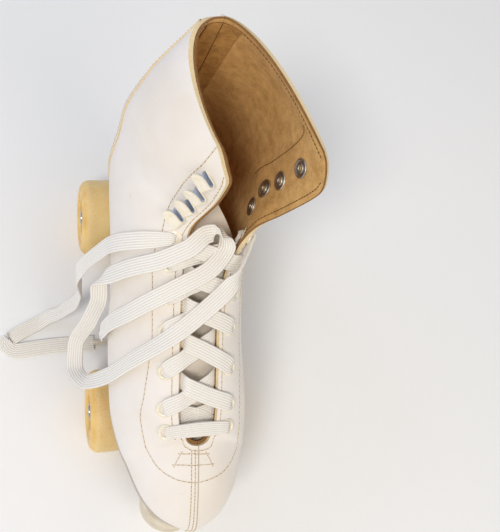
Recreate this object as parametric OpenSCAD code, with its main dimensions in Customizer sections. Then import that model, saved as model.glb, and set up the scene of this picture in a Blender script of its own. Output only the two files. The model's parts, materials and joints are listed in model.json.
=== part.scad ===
// Quad roller skate: a tall laced leather boot on a flat plate, with two sprung steering trucks,
// four urethane wheels on ball bearings and a screw-in toe stop.
// Frame: origin on the floor under the middle of the skate, +X to the medial side,
// +Y to the heel, +Z up. All sizes are millimetres.

/* [Wheels] */
// Diameter of a wheel
wheel_d = 58; // [54:1:62]
// Width of a wheel
wheel_w = 31; // [29:1:33]
// Radius of the rounded tread edges
tread_edge_r = 7; // [3:1:9]
// Width over the outer wheel faces
track_w = 110; // [108:1:118]
// Distance between the two axles
wheelbase = 147; // [140:1:156]
// Distance of the wheelbase's middle behind the boot's middle
wheel_shift = 24.5; // [20:0.5:28]
// Depth of the outer bearing below the wheel's outer face
hub_recess = 8; // [7.8:0.1:9]

/* [Bearings and axles] */
// Outer diameter of a bearing
bearing_od = 22; // [19:1:24]
// Bore of a bearing, which is the axle's diameter
axle_d = 8; // [7:0.5:8]
// Width of a bearing
bearing_w = 7; // [6:0.5:7]
// Length of the spacer between the two bearings of a wheel
spacer_l = 6; // [5:0.5:7]
// Height of an axle nut
axle_nut_h = 6; // [5:0.5:6.5]
// Width of an axle nut across its flats
axle_nut_af = 13; // [12:0.5:14]

/* [Trucks] */
// Tilt of the steering axis from the floor, in degrees
steer_tilt = 10; // [6:1:14]
// Distance of the kingpin inboard of the axle
kingpin_in = 26; // [25:0.5:29]
// Distance of the pivot ball outboard of the axle
pivot_out = 22; // [20:0.5:25]
// Height of the hanger ring above the axle
ring_up = 11; // [9:0.5:13]
// Thickness of the hanger ring
ring_t = 8; // [6:0.5:9]
// Diameter of the kingpin
kingpin_d = 10; // [8:0.5:10]
// Diameter of a rubber cushion
cushion_d = 24; // [22:0.5:26]
// Height of a rubber cushion
cushion_h = 10; // [8:0.5:11]
// Diameter of the pivot ball
ball_d = 12; // [10:0.5:13]

/* [Plate] */
// Height of the plate's top face above the floor
deck_h = 70; // [63:0.5:80]
// Thickness of the plate
deck_t = 5; // [4:0.5:7]
// Width of the plate's front pad
front_pad_w = 50; // [46:1:56]
// Width of the plate's rear pad
rear_pad_w = 46; // [44:1:50]
// Width of the bar between the pads
bar_w = 30; // [24:1:40]
// Diameter of the mounting bolts
bolt_d = 5; // [4:0.5:6]

/* [Toe stop] */
// Diameter of the rubber pad
stop_d = 42; // [36:1:46]
// Height of the rubber pad
stop_h = 24; // [20:1:26]
// Height of the pad's lower face above the floor
stop_floor = 13; // [10:0.5:16]
// Forward lean of the stem, in degrees
stop_tilt = 12; // [8:1:16]
// Diameter of the threaded stem
stem_d = 16; // [12:0.5:17]

/* [Boot] */
// Length of the outsole
boot_len = 274; // [262:1:286]
// Width of the boot across the ball of the foot
ball_w = 92; // [86:1:96]
// Height of the shaft above the heel seat
boot_h = 162; // [150:1:175]
// Height of the stacked heel
heel_lift = 28; // [22:1:32]
// Thickness of the outsole
sole_t = 8; // [6:0.5:10]
// How far the outsole stands out past the upper's lower edge
welt = 2; // [1:0.5:3]
// Thickness of the outer leather
leather_t = 2; // [1.6:0.1:2.2]
// Thickness of the suede lining
lining_t = 1.4; // [1:0.1:1.6]
// Thickness of the tongue
tongue_t = 4; // [3:0.5:5]
// Thickness of the insole board
insole_t = 2.4; // [2:0.2:3]

/* [Lacing] */
// Inner diameter of an eyelet
eyelet_bore = 5.2; // [5:0.1:6]
// Diameter of an eyelet's rim
eyelet_rim = 10.4; // [9.6:0.2:11]
// Distance of the eyelets from the throat edge
eyelet_edge = 9; // [8:0.5:10]
// Distance of the hooks from the flap edge
hook_edge = 16; // [14:0.5:18]
// Width of a lace hook
hook_w = 9; // [7:0.5:10]
// Width of the flat lace
lace_w = 11; // [9:0.5:12]
// Thickness of the flat lace
lace_t = 1.6; // [1.2:0.1:1.8]

/* [Hidden] */
$fn = 48;
fine_fn = 96;

// Sides and ends of the skate
LATERAL = -1;
MEDIAL = 1;
FRONT = -1;
REAR = 1;

// Clearances: pressed or threaded pieces, running fits, and layers that are cemented
press_gap = 0.02;
thread_gap = 0.05;
run_gap = 0.08;
layer_gap = 0.2;
glue_gap = 0.4;
hole_gap = 0.1;

// Cuts run past a face by the first length, and joined pieces sink into each other by the second
cut = 1;
sink = 0.5;

// Colours
WHITE_LEATHER = "#F0E8E1";
SUEDE = "#A0703A";
LACE = "#EBE4D7";
ENAMEL = "#F2ECDD";
STEEL = "#B9BCC0";
ALUMINIUM = "#C9CCD0";
AMBER = "#E6BC6E";
CREAM_RUBBER = "#E1D2AF";
SOLE_EDGE = "#3A322C";
HEEL_LEATHER = "#EDE6DC";
CUSHION_RUBBER = "#4A4744";
ACETAL = "#26282B";

// Wheel, bearing and axle places, from the middle plane outwards
wheel_r = wheel_d / 2;
axle_z = wheel_r;
wheel_in_x = track_w / 2 - wheel_w;
race_out_x = track_w / 2 - hub_recess;
race_in_x = race_out_x - 2 * bearing_w - spacer_l;
axle_r = axle_d / 2;
race_wall = 1.6;
race_r = axle_r + race_wall;
race_gap = 0.1;
speed_washer_t = 0.8;
axle_proud = 0.6;
axle_half = race_out_x + speed_washer_t + axle_nut_h + axle_proud;
mouth_step = 1.5;
rib_step = 2.5;
function axle_y(end) = wheel_shift + end * wheelbase / 2;

// Truck frame: origin at the hanger ring, local +Y outboard along the steering axis, local +Z up the kingpin
kingpin_r = kingpin_d / 2;
ring_land = 2;
ring_r = cushion_d / 2 + ring_land;
ring_play = 1.5;
ring_hole_r = kingpin_r + ring_play;
ring_z = axle_z + ring_up;
beam_y = kingpin_in * cos(steer_tilt) - ring_up * sin(steer_tilt);
beam_z = -kingpin_in * sin(steer_tilt) - ring_up * cos(steer_tilt);
beam_wall = 4;
beam_r = axle_r + beam_wall;
beam_short = 2;
beam_half = race_in_x - beam_short;
pivot_y = (kingpin_in + pivot_out) / cos(steer_tilt);
ball_r = ball_d / 2;
neck_in = 1.5;
stem_pin_r = ball_r - neck_in;
web_w = 15;
web_set = 0.6;
washer_t = 1.5;
washer_land = 1;
washer_r = cushion_d / 2 + washer_land;
cushion_rim = 2;
cushion_play = 0.3;
stack_top = ring_t / 2 + cushion_h + washer_t;
kingpin_nut_h = 7;
kingpin_nut_wall = 4;
kingpin_nut_r = kingpin_r + kingpin_nut_wall;
kingpin_proud = 2;
kingpin_low = stack_top + kingpin_nut_h + kingpin_proud;
kingpin_cover = 2;
kingpin_room = 0.2;
kingpin_high = (deck_h - kingpin_cover - ring_z) / cos(steer_tilt) - kingpin_r * tan(steer_tilt);
cup_wall = 3.5;
cup_r = ball_r + cup_wall;
cup_lip = ball_r;
cup_floor = 3;
cup_back = ball_r + cup_floor;
boss_wall = 3.5;

// Toe stop frame: origin at the middle of the pad's lower face, local +Z up the stem
stop_ahead = 46.5;
stop_y = axle_y(FRONT) - pivot_out - stop_ahead;
stop_edge_r = 6;
stop_boss_wall = 5;
stop_boss_r = stem_d / 2 + stop_boss_wall;
lock_nut_h = 8;
lock_nut_wall = 6;
lock_nut_r = stem_d / 2 + lock_nut_wall;
stop_travel = 6;
lock_nut_room = 2;
lock_nut_low = stop_h + stop_travel + lock_nut_room;
stop_boss_low = lock_nut_low + lock_nut_h;
stem_foot = stop_h / 3;
stem_cover = 1.4;
stem_top = (deck_h - stop_floor - stop_travel - stem_cover) / cos(stop_tilt) - stem_d / 2 * tan(stop_tilt);
flange_in = 4;
flange_r = stop_d / 2 - flange_in;
flange_t = 2.5;

// Plate outline: each pad reaches a little past what is bolted or screwed into it
deck_low = deck_h - deck_t;
pad_corner_r = 12;
pad_margin = 19;
stop_margin = 3.5;
kingpin_margin = 2;
pivot_margin = 11;
front_pad_y = [stop_y - stop_margin, axle_y(FRONT) + kingpin_in + pad_margin];
rear_pad_y = [axle_y(REAR) - kingpin_in - kingpin_margin, axle_y(REAR) + pivot_out + pivot_margin];

// Rib under the bar, which ends clear of both tilted cushion stacks
bar_rib_h = 9;
bar_rib_w = 14;
rib_clear = 1.5;
stack_reach = kingpin_in + stack_top * sin(steer_tilt) + washer_r * cos(steer_tilt);
bar_rib_y = [axle_y(FRONT) + stack_reach + rib_clear, axle_y(REAR) - stack_reach - rib_clear];
far = 200;

// Mounting holes: half spacing across, and places fore and aft of the axles
bolt_r = bolt_d / 2;
bolt_clear = 0.1;
bolt_head_k = 0.8;
bolt_head_r = bolt_d * bolt_head_k;
bolt_head_h = 3;
front_bolt_x = 16;
front_bolt_ahead = 43;
front_bolt_behind = 7;
front_bolt_y = [axle_y(FRONT) - front_bolt_ahead, axle_y(FRONT) + front_bolt_behind];
rear_bolt_x = 17.5;
rear_bolt_ahead = 6;
rear_bolt_behind = 19;
rear_bolt_y = [axle_y(REAR) - rear_bolt_ahead, axle_y(REAR) + rear_bolt_behind];
heel_screw_l = 18;
screw_room = 0.5;
tee_nut_r = 8;
tee_nut_t = 1.4;

// Boot last. Each row is a cross curve from the lower edge, or the back seam, to the upper seam, throat or
// flap edge: end, two handles, end. Points are [outward, along, above the feather line], drawn on a last
// of the three sizes below and stretched to the boot's own sizes.
last_len = 274;
last_ball_w = 92;
last_h = 162;
lateral_rows = [
    [[-2, -135, 0], [-2, -138, 9], [-2, -136, 18], [-2, -129, 23]],
    [[14, -128, 0], [17, -130, 12], [10, -126, 26], [-2, -116, 31]],
    [[27, -113, 0], [32, -115, 16], [19, -110, 34], [-2, -101, 38.5]],
    [[36, -90, 0], [43, -91, 20], [25, -87, 43], [-2, -84, 45.5]],
    [[39, -82, 0], [47, -84, 21], [27, -81, 45.3], [8, -80, 47.3]],
    [[44, -52, 0], [54, -55, 24], [32, -62, 53], [10, -62, 55.5]],
    [[42, -6, 0], [56, -14, 28], [37, -24, 68], [10, -26, 74]],
    [[36, 44, 0], [57, 26, 30], [42, 4, 80], [10, 3, 85]],
    [[32, 96, 0], [58, 76, 32], [48, 34, 88], [8, 25, 93]],
    [[19, 128, 0], [58, 112, 36], [56, 46, 96], [4, 31, 103]],
    [[0, 135, 6], [58, 135, 46], [58, 54, 106], [0, 33, 111]],
    [[-1, 134, 54], [58, 134, 82], [58, 58, 122], [-3, 34, 126]],
    [[-2, 130, 106], [49, 131, 124], [48, 60, 141], [-4, 36, 144]],
    [[-3, 127, 162], [26, 129, 160], [17, 76, 156], [-1, 43, 154]]
];
medial_rows = [
    [[2, -135, 0], [2, -138, 9], [2, -136, 18], [2, -129, 23]],
    [[18, -128, 0], [21, -130, 12], [14, -126, 26], [2, -116, 31]],
    [[29, -113, 0], [33, -115, 16], [23, -110, 34], [2, -101, 38.5]],
    [[36, -90, 0], [41, -91, 20], [27.5, -87, 43], [2, -84, 45.5]],
    [[38, -82, 0], [43, -84, 21], [28.5, -81, 45.3], [11, -80, 47.3]],
    [[41, -52, 0], [46, -55, 24], [32, -62, 53], [13, -62, 55.5]],
    [[37, -6, 0], [44, -14, 28], [35, -24, 68], [13, -26, 74]],
    [[31, 44, 0], [42, 26, 30], [37, 4, 80], [15, 3, 84]],
    [[29, 96, 0], [42, 76, 30], [42, 36, 88], [25, 22, 90]],
    [[19, 128, 0], [46, 112, 34], [46, 54, 96], [34, 30, 98]],
    [[0, 135, 6], [45, 135, 44], [49, 68, 106], [42, 33, 109]],
    [[1, 134, 54], [42, 134, 80], [48, 80, 122], [46.5, 35, 127]],
    [[2, 130, 106], [34, 131, 122], [46.5, 86, 142], [51, 38, 145]],
    [[3, 127, 162], [13, 126, 160], [37, 92, 157], [53, 48, 155]]
];
seam_row = 3;
heel_row = 10;
top_row = 13;
row_steps = 3;
cross_steps = 10;

// Tongue rows: left edge, two handles, right edge, as [across, along, above the feather line]
tongue_rows = [
    [[-17, -88, 31], [-8, -88, 37], [10, -88, 37], [20, -88, 31]],
    [[-23, -60, 41], [-10, -60, 50], [13, -60, 50], [26, -60, 41]],
    [[-23, -24, 58], [-10, -25, 67], [13, -25, 67], [27, -24, 58]],
    [[-24, 8, 68], [-10, 5, 77], [14, 5, 77], [28, 9, 67]],
    [[-24, 42, 76], [-12, 35, 84], [8, 33, 86], [24, 37, 82]],
    [[-26, 66, 104], [-18, 57, 107], [-4, 47, 109], [15, 45, 109]],
    [[-24, 72, 126], [-17, 62, 128], [-8, 52, 129], [5, 49, 128]],
    [[-14, 88, 146], [-11, 77, 149], [-7, 67, 149], [-1, 59, 146]]
];

// Arch: the feather line rises by the heel's height between these two places
arch_y = [-30, 72];
heel_front = 74;
heel_set_in = 1;
insole_room = 2;
arch_steps = 16;

// Lacing places, as row numbers on the last
eyelet_count = 7;
eyelet_rows = [4.3, 8];
hook_rows = [8.9, 10.1, 11, 11.8];
eyelet_wall = 0.5;
eyelet_tail = 0.6;
eyelet_seat = 0.2;
curl_t = 0.6;
curl_in = 0.5;
hook_gap = 2.9;
hook_t = 1;
hook_back = 2.5;
hook_base_l = 8;
hook_lip_l = 8;
hook_seat = 0.3;
rivet_rim = 12;
rivet_bore = 3;
rivet_wall = 0.7;
rivet_tail = 0.6;
rivet_top = 0.1;
rivet_seat = 0.3;

// Free lace ends, as [place, width direction]. The lateral end falls to the floor and folds back there.
// The medial end crosses the instep, hangs in a loop, tucks in behind the flap and comes out again.
lateral_end_route = [
    [[-21, 24, 184], [0, 1, 0.4]], [[-35, 30, 175], [0, 1, 0.4]], [[-46, 34, 159], [0, 1, 0.3]],
    [[-51, 37, 140], [0, 1, 0.2]], [[-59, 36, 118], [0, 1, 0]], [[-65, 30, 104], [0, 1, 0.3]],
    [[-61, 27, 80], [0, 0.8, 0.6]], [[-62, 26, 54], [0, 0.9, 0.4]], [[-68, 27, 28], [0, 1, 0.3]],
    [[-76, 27, 8], [0.1, 1, 0]], [[-88, 22, 2.4], [0.2, 1, 0]], [[-100, 16, 2.2], [0.4, 1, 0]],
    [[-109, 9, 2.4], [1, 0.3, 0]], [[-102, 3, 2], [0, 1, 0]], [[-84, 5, 2], [0, 1, 0]],
    [[-62, 6, 2], [0, 1, 0]], [[-46, 6, 2], [0, 1, 0]]
];
medial_end_route = [
    [[36, 25, 184], [0, 1, 0.5]], [[30, 14, 184], [0.3, 1, 0.5]], [[20, 3, 177], [0.5, 1, 0.5]],
    [[3, -12, 167], [0.5, 1, 0.5]], [[-17, -25, 156], [0.4, 1, 0.4]], [[-37, -33, 133], [0.2, 1, 0.2]],
    [[-50, -37, 104], [0, 1, 0]], [[-59, -35, 76], [0, 0.9, -0.3]], [[-65, -21, 57], [1, 0.2, 0.2]],
    [[-64, -6, 63], [1, 0, 0.4]], [[-57, 3, 88], [0.7, 0.6, 0.3]], [[-53, 11, 114], [0.2, 1, 0]],
    [[-54, 19, 130], [0.6, 0.8, 0]], [[-47, 18, 148], [0, 1, 0.2]], [[-38, 17, 164], [0, 1, 0.3]],
    [[-26, 16, 177], [0, 1, 0.4]], [[-10, 19, 190], [0.2, 1, 0.3]], [[2, 27, 194], [0.6, 0.8, 0.2]],
    [[12, 28, 192], [0.6, -0.8, 0]], [[15, 22, 186], [0.5, -0.8, -0.2]], [[6, 10, 181], [0.6, -0.8, -0.3]],
    [[-11, 2, 175], [0.4, -1, -0.3]], [[-29, -4, 162], [0.2, -1, -0.2]], [[-42, -7, 142], [0.1, -1, -0.1]],
    [[-49, -7, 118], [0, -1, 0]], [[-50, -6, 98], [0, -1, 0]], [[-49, -5, 84], [0, -1, 0]]
];
route_steps = 2;
tip_l = 18;
tip_d = 3.6;

// Small helpers
function unit(v) = v / norm(v);
function smooth_step(u) = u <= 0 ? 0 : u >= 1 ? 1 : u * u * (3 - 2 * u);
function clamp(v, low, high) = min(max(v, low), high);

// Slope that never overshoots between two steps
function joint_slope(a, b) = a * b <= 0 ? 0 : 2 * a * b / (a + b);

// Smooth value between b and c, with neighbours a and d
function between(a, b, c, d, f) =
    let (m0 = joint_slope(b - a, c - b), m1 = joint_slope(c - b, d - c), g = f * f, h = g * f)
    b * (2 * h - 3 * g + 1) + m0 * (h - 2 * g + f) + c * (3 * g - 2 * h) + m1 * (h - g);

// One point of a table's row at a fractional row number
function row_point(rows, s, j) =
    let (last = len(rows) - 1, i = min(floor(s), last - 1), b = rows[i][j], c = rows[i + 1][j])
    let (a = i > 0 ? rows[i - 1][j] : [2 * b[0] - c[0], c[1], c[2]])
    let (d = i + 2 <= last ? rows[i + 2][j] : 2 * c - b)
    [for (k = [0:2]) between(a[k], b[k], c[k], d[k], s - i)];

// Cubic curve through a row's two ends, drawn by its two handles
function cross_curve(p, t) =
    p[0] * pow(1 - t, 3) + p[1] * 3 * t * pow(1 - t, 2) + p[2] * 3 * t * t * (1 - t) + p[3] * pow(t, 3);

// Last to boot sizes
len_k = boot_len / last_len;
wide_k = ball_w / last_ball_w;
high_k = boot_h / last_h;
sole_top = deck_h + sole_t;
function lift(y) = heel_lift * smooth_step((y / len_k - arch_y[0]) / (arch_y[1] - arch_y[0]));
function on_boot(p) = [p[0] * wide_k, p[1] * len_k, sole_top + glue_gap + lift(p[1] * len_k) + p[2] * high_k];
function side_rows(side) = side == LATERAL ? lateral_rows : medial_rows;
function to_side(p, side) = on_boot([side * (p[0] + layer_gap / 2), p[1], p[2]]);
function boot_row(side, s) = [for (j = [0:3]) to_side(row_point(side_rows(side), s, j), side)];
function skin(side, s, t) = cross_curve(boot_row(side, clamp(s, 0, top_row)), clamp(t, 0, 1));
row_probe = 0.05;
way_probe = 0.02;
function skin_along(side, s, t) = unit(skin(side, s + row_probe, t) - skin(side, s - row_probe, t));
function skin_across(side, s, t) = unit(skin(side, s, t + way_probe) - skin(side, s, t - way_probe));
function skin_normal(side, s, t) = side * unit(cross(skin_along(side, s, t), skin_across(side, s, t)));
function above_skin(side, s, t, h) = skin(side, s, t) + h * skin_normal(side, s, t);

// Place on a row at a distance from its upper edge
function edge_t(side, s, distance) =
    let (row = boot_row(side, s))
    1 - distance / (3 * norm(row[3] - row[2]));

// Normal of the layers, which stays in the seam's own plane on the toe seam and the back seam
function turned(d) = unit([0, -d[2], d[1]]);
function layer_normal(side, s, t) =
    s == 0 ? turned(skin_across(side, s, t)) :
    t == 1 && s <= seam_row ? turned(skin_along(side, s, t)) :
    t == 0 && s >= heel_row ? -turned(skin_along(side, s, t)) :
    skin_normal(side, s, t);

// Triangles of a closed layer: its outer face, the same face below it, and the rim between them
function backwards(f) = [f[2], f[1], f[0]];
function split(quads) = [for (q = quads) each [[q[1], q[2], q[3]], [q[1], q[3], q[0]]]];
function layer_faces(quads, rim, inner) =
    let (outer = split(quads), count = len(rim))
    concat(outer, [for (f = outer) backwards(f) + [inner, inner, inner]], split([for (k = [0:count - 1])
        let (a = rim[k], b = rim[(k + 1) % count])
        [a, b, b + inner, a + inner]]));

// One leather layer of half the boot, between two depths below its outer face
module boot_layer(side, outer_depth, inner_depth) {
    rows = top_row * row_steps;
    wide = cross_steps + 1;
    inner = (rows + 1) * wide;
    stations = [for (i = [0:rows], j = [0:cross_steps]) [i / row_steps, j / cross_steps]];
    quads = [for (i = [0:rows - 1], j = [0:cross_steps - 1])
        [i * wide + j, i * wide + j + 1, (i + 1) * wide + j + 1, (i + 1) * wide + j]];
    low_rim = [for (i = [0:rows]) i * wide];
    top_rim = [for (j = [1:cross_steps]) rows * wide + j];
    front_rim = [for (i = [rows - 1:-1:0]) i * wide + cross_steps];
    toe_rim = [for (j = [cross_steps - 1:-1:1]) j];
    points = [for (depth = [outer_depth, inner_depth], st = stations)
        skin(side, st[0], st[1]) - depth * layer_normal(side, st[0], st[1])];
    faces = layer_faces(quads, concat(low_rim, top_rim, front_rim, toe_rim), inner);
    polyhedron(points, [for (f = faces) side == MEDIAL ? f : backwards(f)], convexity = 8);
}

// Local frame on the boot's outer face: +Z out of it, +Y away from the throat
module on_skin(side, s, t) {
    n = skin_normal(side, s, t);
    along = -side * skin_along(side, s, t);
    x = unit(along - n * (along * n));
    y = cross(n, x);
    p = skin(side, s, t);
    multmatrix([[x[0], y[0], n[0], p[0]], [x[1], y[1], n[1], p[1]], [x[2], y[2], n[2], p[2]]]) children();
}

wall_t = leather_t + layer_gap + lining_t;
function eyelet_row(i) = eyelet_rows[0] + i * (eyelet_rows[1] - eyelet_rows[0]) / (eyelet_count - 1);

module at_eyelets(side) {
    for (i = [0:eyelet_count - 1])
        let (s = eyelet_row(i))
        on_skin(side, s, edge_t(side, s, eyelet_edge)) children();
}

module at_hooks(side) {
    for (s = hook_rows) on_skin(side, s, edge_t(side, s, hook_edge)) children();
}

// Holes for the eyelets and the hook rivets
module lacing_holes(side) {
    depth = wall_t + 2 * cut;
    eyelet_d = eyelet_bore + 2 * eyelet_wall + hole_gap;
    rivet_d = rivet_bore + 2 * rivet_wall + hole_gap;
    at_eyelets(side) translate([0, 0, -depth]) cylinder(d = eyelet_d, h = 2 * depth);
    at_hooks(side) translate([0, 0, -depth]) cylinder(d = rivet_d, h = 2 * depth);
}

module quarter(side) {
    color(WHITE_LEATHER) difference() {
        boot_layer(side, 0, leather_t);
        lacing_holes(side);
    }
}
module quarter_lateral() { quarter(LATERAL); }
module quarter_medial() { quarter(MEDIAL); }

module lining(side) {
    color(SUEDE) difference() {
        boot_layer(side, leather_t + layer_gap, wall_t);
        lacing_holes(side);
    }
}
module lining_lateral() { lining(LATERAL); }
module lining_medial() { lining(MEDIAL); }

// Padded leather tongue under the throat, leaning on the lateral flap at its top
function tongue_point(s, t) =
    cross_curve([for (j = [0:3]) on_boot(row_point(tongue_rows, s, j))], t);
function tongue_normal(s, t) =
    let (low_s = max(s - 2 * row_probe, 0), high_s = min(s + 2 * row_probe, len(tongue_rows) - 1))
    let (along = tongue_point(high_s, t) - tongue_point(low_s, t))
    let (across = tongue_point(s, min(t + row_probe, 1)) - tongue_point(s, max(t - row_probe, 0)))
    unit(cross(across, along));
module tongue() {
    steps = 3;
    across_steps = 8;
    rows = (len(tongue_rows) - 1) * steps;
    wide = across_steps + 1;
    inner = (rows + 1) * wide;
    stations = [for (i = [0:rows], j = [0:across_steps]) [i / steps, j / across_steps]];
    quads = [for (i = [0:rows - 1], j = [0:across_steps - 1])
        [i * wide + j, (i + 1) * wide + j, (i + 1) * wide + j + 1, i * wide + j + 1]];
    rim = concat(
        [for (j = [0:across_steps]) j],
        [for (i = [1:rows]) i * wide + across_steps],
        [for (j = [across_steps - 1:-1:0]) rows * wide + j],
        [for (i = [rows - 1:-1:1]) i * wide]);
    points = [for (depth = [0, tongue_t], st = stations)
        tongue_point(st[0], st[1]) - depth * tongue_normal(st[0], st[1])];
    color(WHITE_LEATHER) polyhedron(points, layer_faces(quads, rim, inner), convexity = 6);
}

// Foot outline on the feather line, with a margin outside it
function feather(side, s) = to_side(row_point(side_rows(side), clamp(s, 0, heel_row), 0), side);
function outline_point(side, s, margin) =
    let (p = feather(side, s), d = feather(side, s + 2 * row_probe) - feather(side, s - 2 * row_probe))
    let (n = s == 0 ? [0, -1] : s == heel_row ? [0, 1] : side * unit([d[1], -d[0]]))
    [s == 0 || s == heel_row ? p[0] + side * -layer_gap / 2 * wide_k : p[0], p[1]] + margin * n;
module foot_plan(margin) {
    steps = 3;
    n = heel_row * steps;
    lateral = [for (i = [0:n]) outline_point(LATERAL, i / steps, margin)];
    medial = [for (i = [n - 1:-1:1]) outline_point(MEDIAL, i / steps, margin)];
    translate([0, 0, deck_h]) linear_extrude(far) polygon(concat(lateral, medial));
}

// Band that follows the arch, seen from the side, between two heights above the outsole's top
module arch_band(low, high) {
    arch_l = arch_y[1] - arch_y[0];
    ys = concat([-far], [for (i = [0:arch_steps]) len_k * (arch_y[0] + i * arch_l / arch_steps)], [far]);
    top = [for (y = ys) [y, sole_top + lift(y) + high]];
    bottom = [for (i = [len(ys) - 1:-1:0]) [ys[i], sole_top + lift(ys[i]) + low]];
    rotate([90, 0, 90]) linear_extrude(far, center = true) polygon(concat(top, bottom));
}

module at_front_bolts() {
    for (x = [-front_bolt_x, front_bolt_x], y = front_bolt_y) translate([x, y, 0]) children();
}
module at_rear_bolts() {
    for (x = [-rear_bolt_x, rear_bolt_x], y = rear_bolt_y) translate([x, y, 0]) children();
}

module insole() {
    color(SUEDE) intersection() {
        foot_plan(-wall_t - insole_room);
        arch_band(tee_nut_t + glue_gap, tee_nut_t + glue_gap + insole_t);
    }
}

module outsole() {
    color(SOLE_EDGE) difference() {
        intersection() {
            foot_plan(welt);
            arch_band(-sole_t, 0);
        }
        at_front_bolts() cylinder(r = bolt_r + bolt_clear, h = far);
    }
}

module heel_block() {
    color(HEEL_LEATHER) difference() {
        intersection() {
            foot_plan(welt - heel_set_in);
            translate([-far / 2, heel_front * len_k, deck_h]) cube([far, far, heel_lift]);
        }
        at_rear_bolts() cylinder(r = bolt_r + bolt_clear, h = deck_h + heel_screw_l + screw_room);
    }
}

// Half-round metal ring that stands on a face
module ring_rim(bore, rim) {
    rotate_extrude() intersection() {
        translate([(bore + rim) / 4, 0]) circle(d = (rim - bore) / 2);
        translate([bore / 2, 0]) square([rim, rim]);
    }
}
module tube(bore, outer, low, high) {
    translate([0, 0, low]) difference() {
        cylinder(d = outer, h = high - low);
        translate([0, 0, -cut]) cylinder(d = bore, h = high - low + 2 * cut);
    }
}

module eyelet() {
    back = -wall_t - eyelet_seat;
    tube(eyelet_bore, eyelet_bore + 2 * eyelet_wall, -wall_t - eyelet_tail, eyelet_tail);
    translate([0, 0, eyelet_seat]) ring_rim(eyelet_bore, eyelet_rim);
    tube(eyelet_bore, eyelet_rim - 2 * curl_in, back - curl_t, back);
}
module eyelets() {
    color(ENAMEL) for (side = [LATERAL, MEDIAL]) at_eyelets(side) eyelet();
}

// Open hook bent from one strip, its mouth facing away from the throat
module lace_hook() {
    bend_r = hook_gap / 2 + hook_t;
    rotate([90, 0, 90]) linear_extrude(hook_w, center = true) translate([-hook_back, bend_r + hook_seat]) {
        difference() {
            circle(bend_r);
            circle(hook_gap / 2);
            translate([0, -2 * bend_r]) square(4 * bend_r);
        }
        translate([0, -bend_r]) square([hook_base_l, hook_t]);
        translate([0, bend_r - hook_t]) square([hook_lip_l, hook_t]);
    }
}
module lace_hooks() {
    color(ENAMEL) for (side = [LATERAL, MEDIAL]) at_hooks(side) lace_hook();
}
module hook_rivets() {
    color(STEEL) for (side = [LATERAL, MEDIAL]) at_hooks(side) {
        tube(rivet_bore, rivet_bore + 2 * rivet_wall, -wall_t - rivet_tail, rivet_top);
        translate([0, 0, -wall_t - rivet_seat]) mirror([0, 0, 1]) ring_rim(rivet_bore, rivet_rim);
    }
}

// Flat lace: rings of eight points along a route of [place, width direction, half width]
lace_profile = [[1, 0.4], [0.85, 1], [-0.85, 1], [-1, 0.4], [-1, -0.4], [-0.85, -1], [0.85, -1], [1, -0.4]];
module ribbon(route) {
    last = len(route) - 1;
    sides = len(lace_profile);
    points = [for (i = [0:last])
        let (along = unit(route[min(i + 1, last)][0] - route[max(i - 1, 0)][0]), wide = route[i][1])
        let (w = unit(wide - along * (wide * along)), n = cross(along, w))
        each [for (q = lace_profile) route[i][0] + w * q[0] * route[i][2] + n * q[1] * lace_t / 2]];
    walls = [for (i = [0:last - 1], j = [0:sides - 1])
        let (a = i * sides + j, b = i * sides + (j + 1) % sides)
        each [[a, a + sides, b + sides], [a, b + sides, b]]];
    caps = [for (j = [1:sides - 2])
        each [[0, j, j + 1], [last * sides, last * sides + j + 1, last * sides + j]]];
    polyhedron(points, concat(walls, caps), convexity = 10);
}

// The same route with smooth steps between its places
function smooth_route(route, steps) = [
    for (i = [0:len(route) - 2], k = [0:steps - 1])
        let (a = route[max(i - 1, 0)], b = route[i], c = route[i + 1], d = route[min(i + 2, len(route) - 1)])
        [for (m = [0:1]) [for (n = [0:2]) between(a[m][n], b[m][n], c[m][n], d[m][n], k / steps)]],
    route[len(route) - 1]
];
function full_width(route) = [for (r = route) [r[0], r[1], lace_w / 2]];

// The lace fills an eyelet folded narrow, lies on the leather, and dives under the other side's edge
lace_room = 0.3;
eyelet_half_w = eyelet_bore / 2 - lace_room;
lace_over = 1.3;
lace_drop = 0.5;
lace_under = -wall_t - lace_t / 2 - lace_drop;
bar_half_w = lace_w / 3;
function eyelet_t(side, s) = edge_t(side, s, eyelet_edge);
function lace_at(side, s, t, h, half_w) = [above_skin(side, s, t, h), skin_along(side, s, t), half_w];
function throat_middle(s, h) = (above_skin(LATERAL, s, 1, h) + above_skin(MEDIAL, s, 1, h)) / 2;

// One crossing, from an eyelet's top to the underside and barrel of the other side's next eyelet, by five
// shares of the way between their rows
crossing_ways = [0.1, 0.3, 0.5, 0.7, 0.9];
function lace_crossing(side, i, crossing_h) =
    let (a = eyelet_row(i), b = eyelet_row(i + 1), step = b - a, other = -side)
    let (ta = eyelet_t(side, a), tb = eyelet_t(other, b), s = [for (way = crossing_ways) a + way * step])
    [
        lace_at(side, a, ta, lace_over, eyelet_half_w),
        lace_at(side, s[0], (2 * ta + 1) / 3, lace_over, lace_w / 2),
        lace_at(side, s[1], 1, lace_over, lace_w / 2),
        [throat_middle(s[2], crossing_h), skin_along(side, s[2], 1), lace_w / 2],
        lace_at(other, s[3], 1, lace_under, lace_w / 2),
        lace_at(other, s[4], (2 * tb + 1) / 3, lace_under, lace_w / 2),
        lace_at(other, b, tb, lace_under, eyelet_half_w),
        lace_at(other, b, tb, -wall_t / 2, eyelet_half_w)
    ];
function lace_half(first_side, crossing_h) = [
    for (i = [1:eyelet_count - 2])
        each lace_crossing(first_side * (i % 2 == 1 ? 1 : -1), i, i % 2 == 1 ? crossing_h[0] : crossing_h[1])
];

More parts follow.
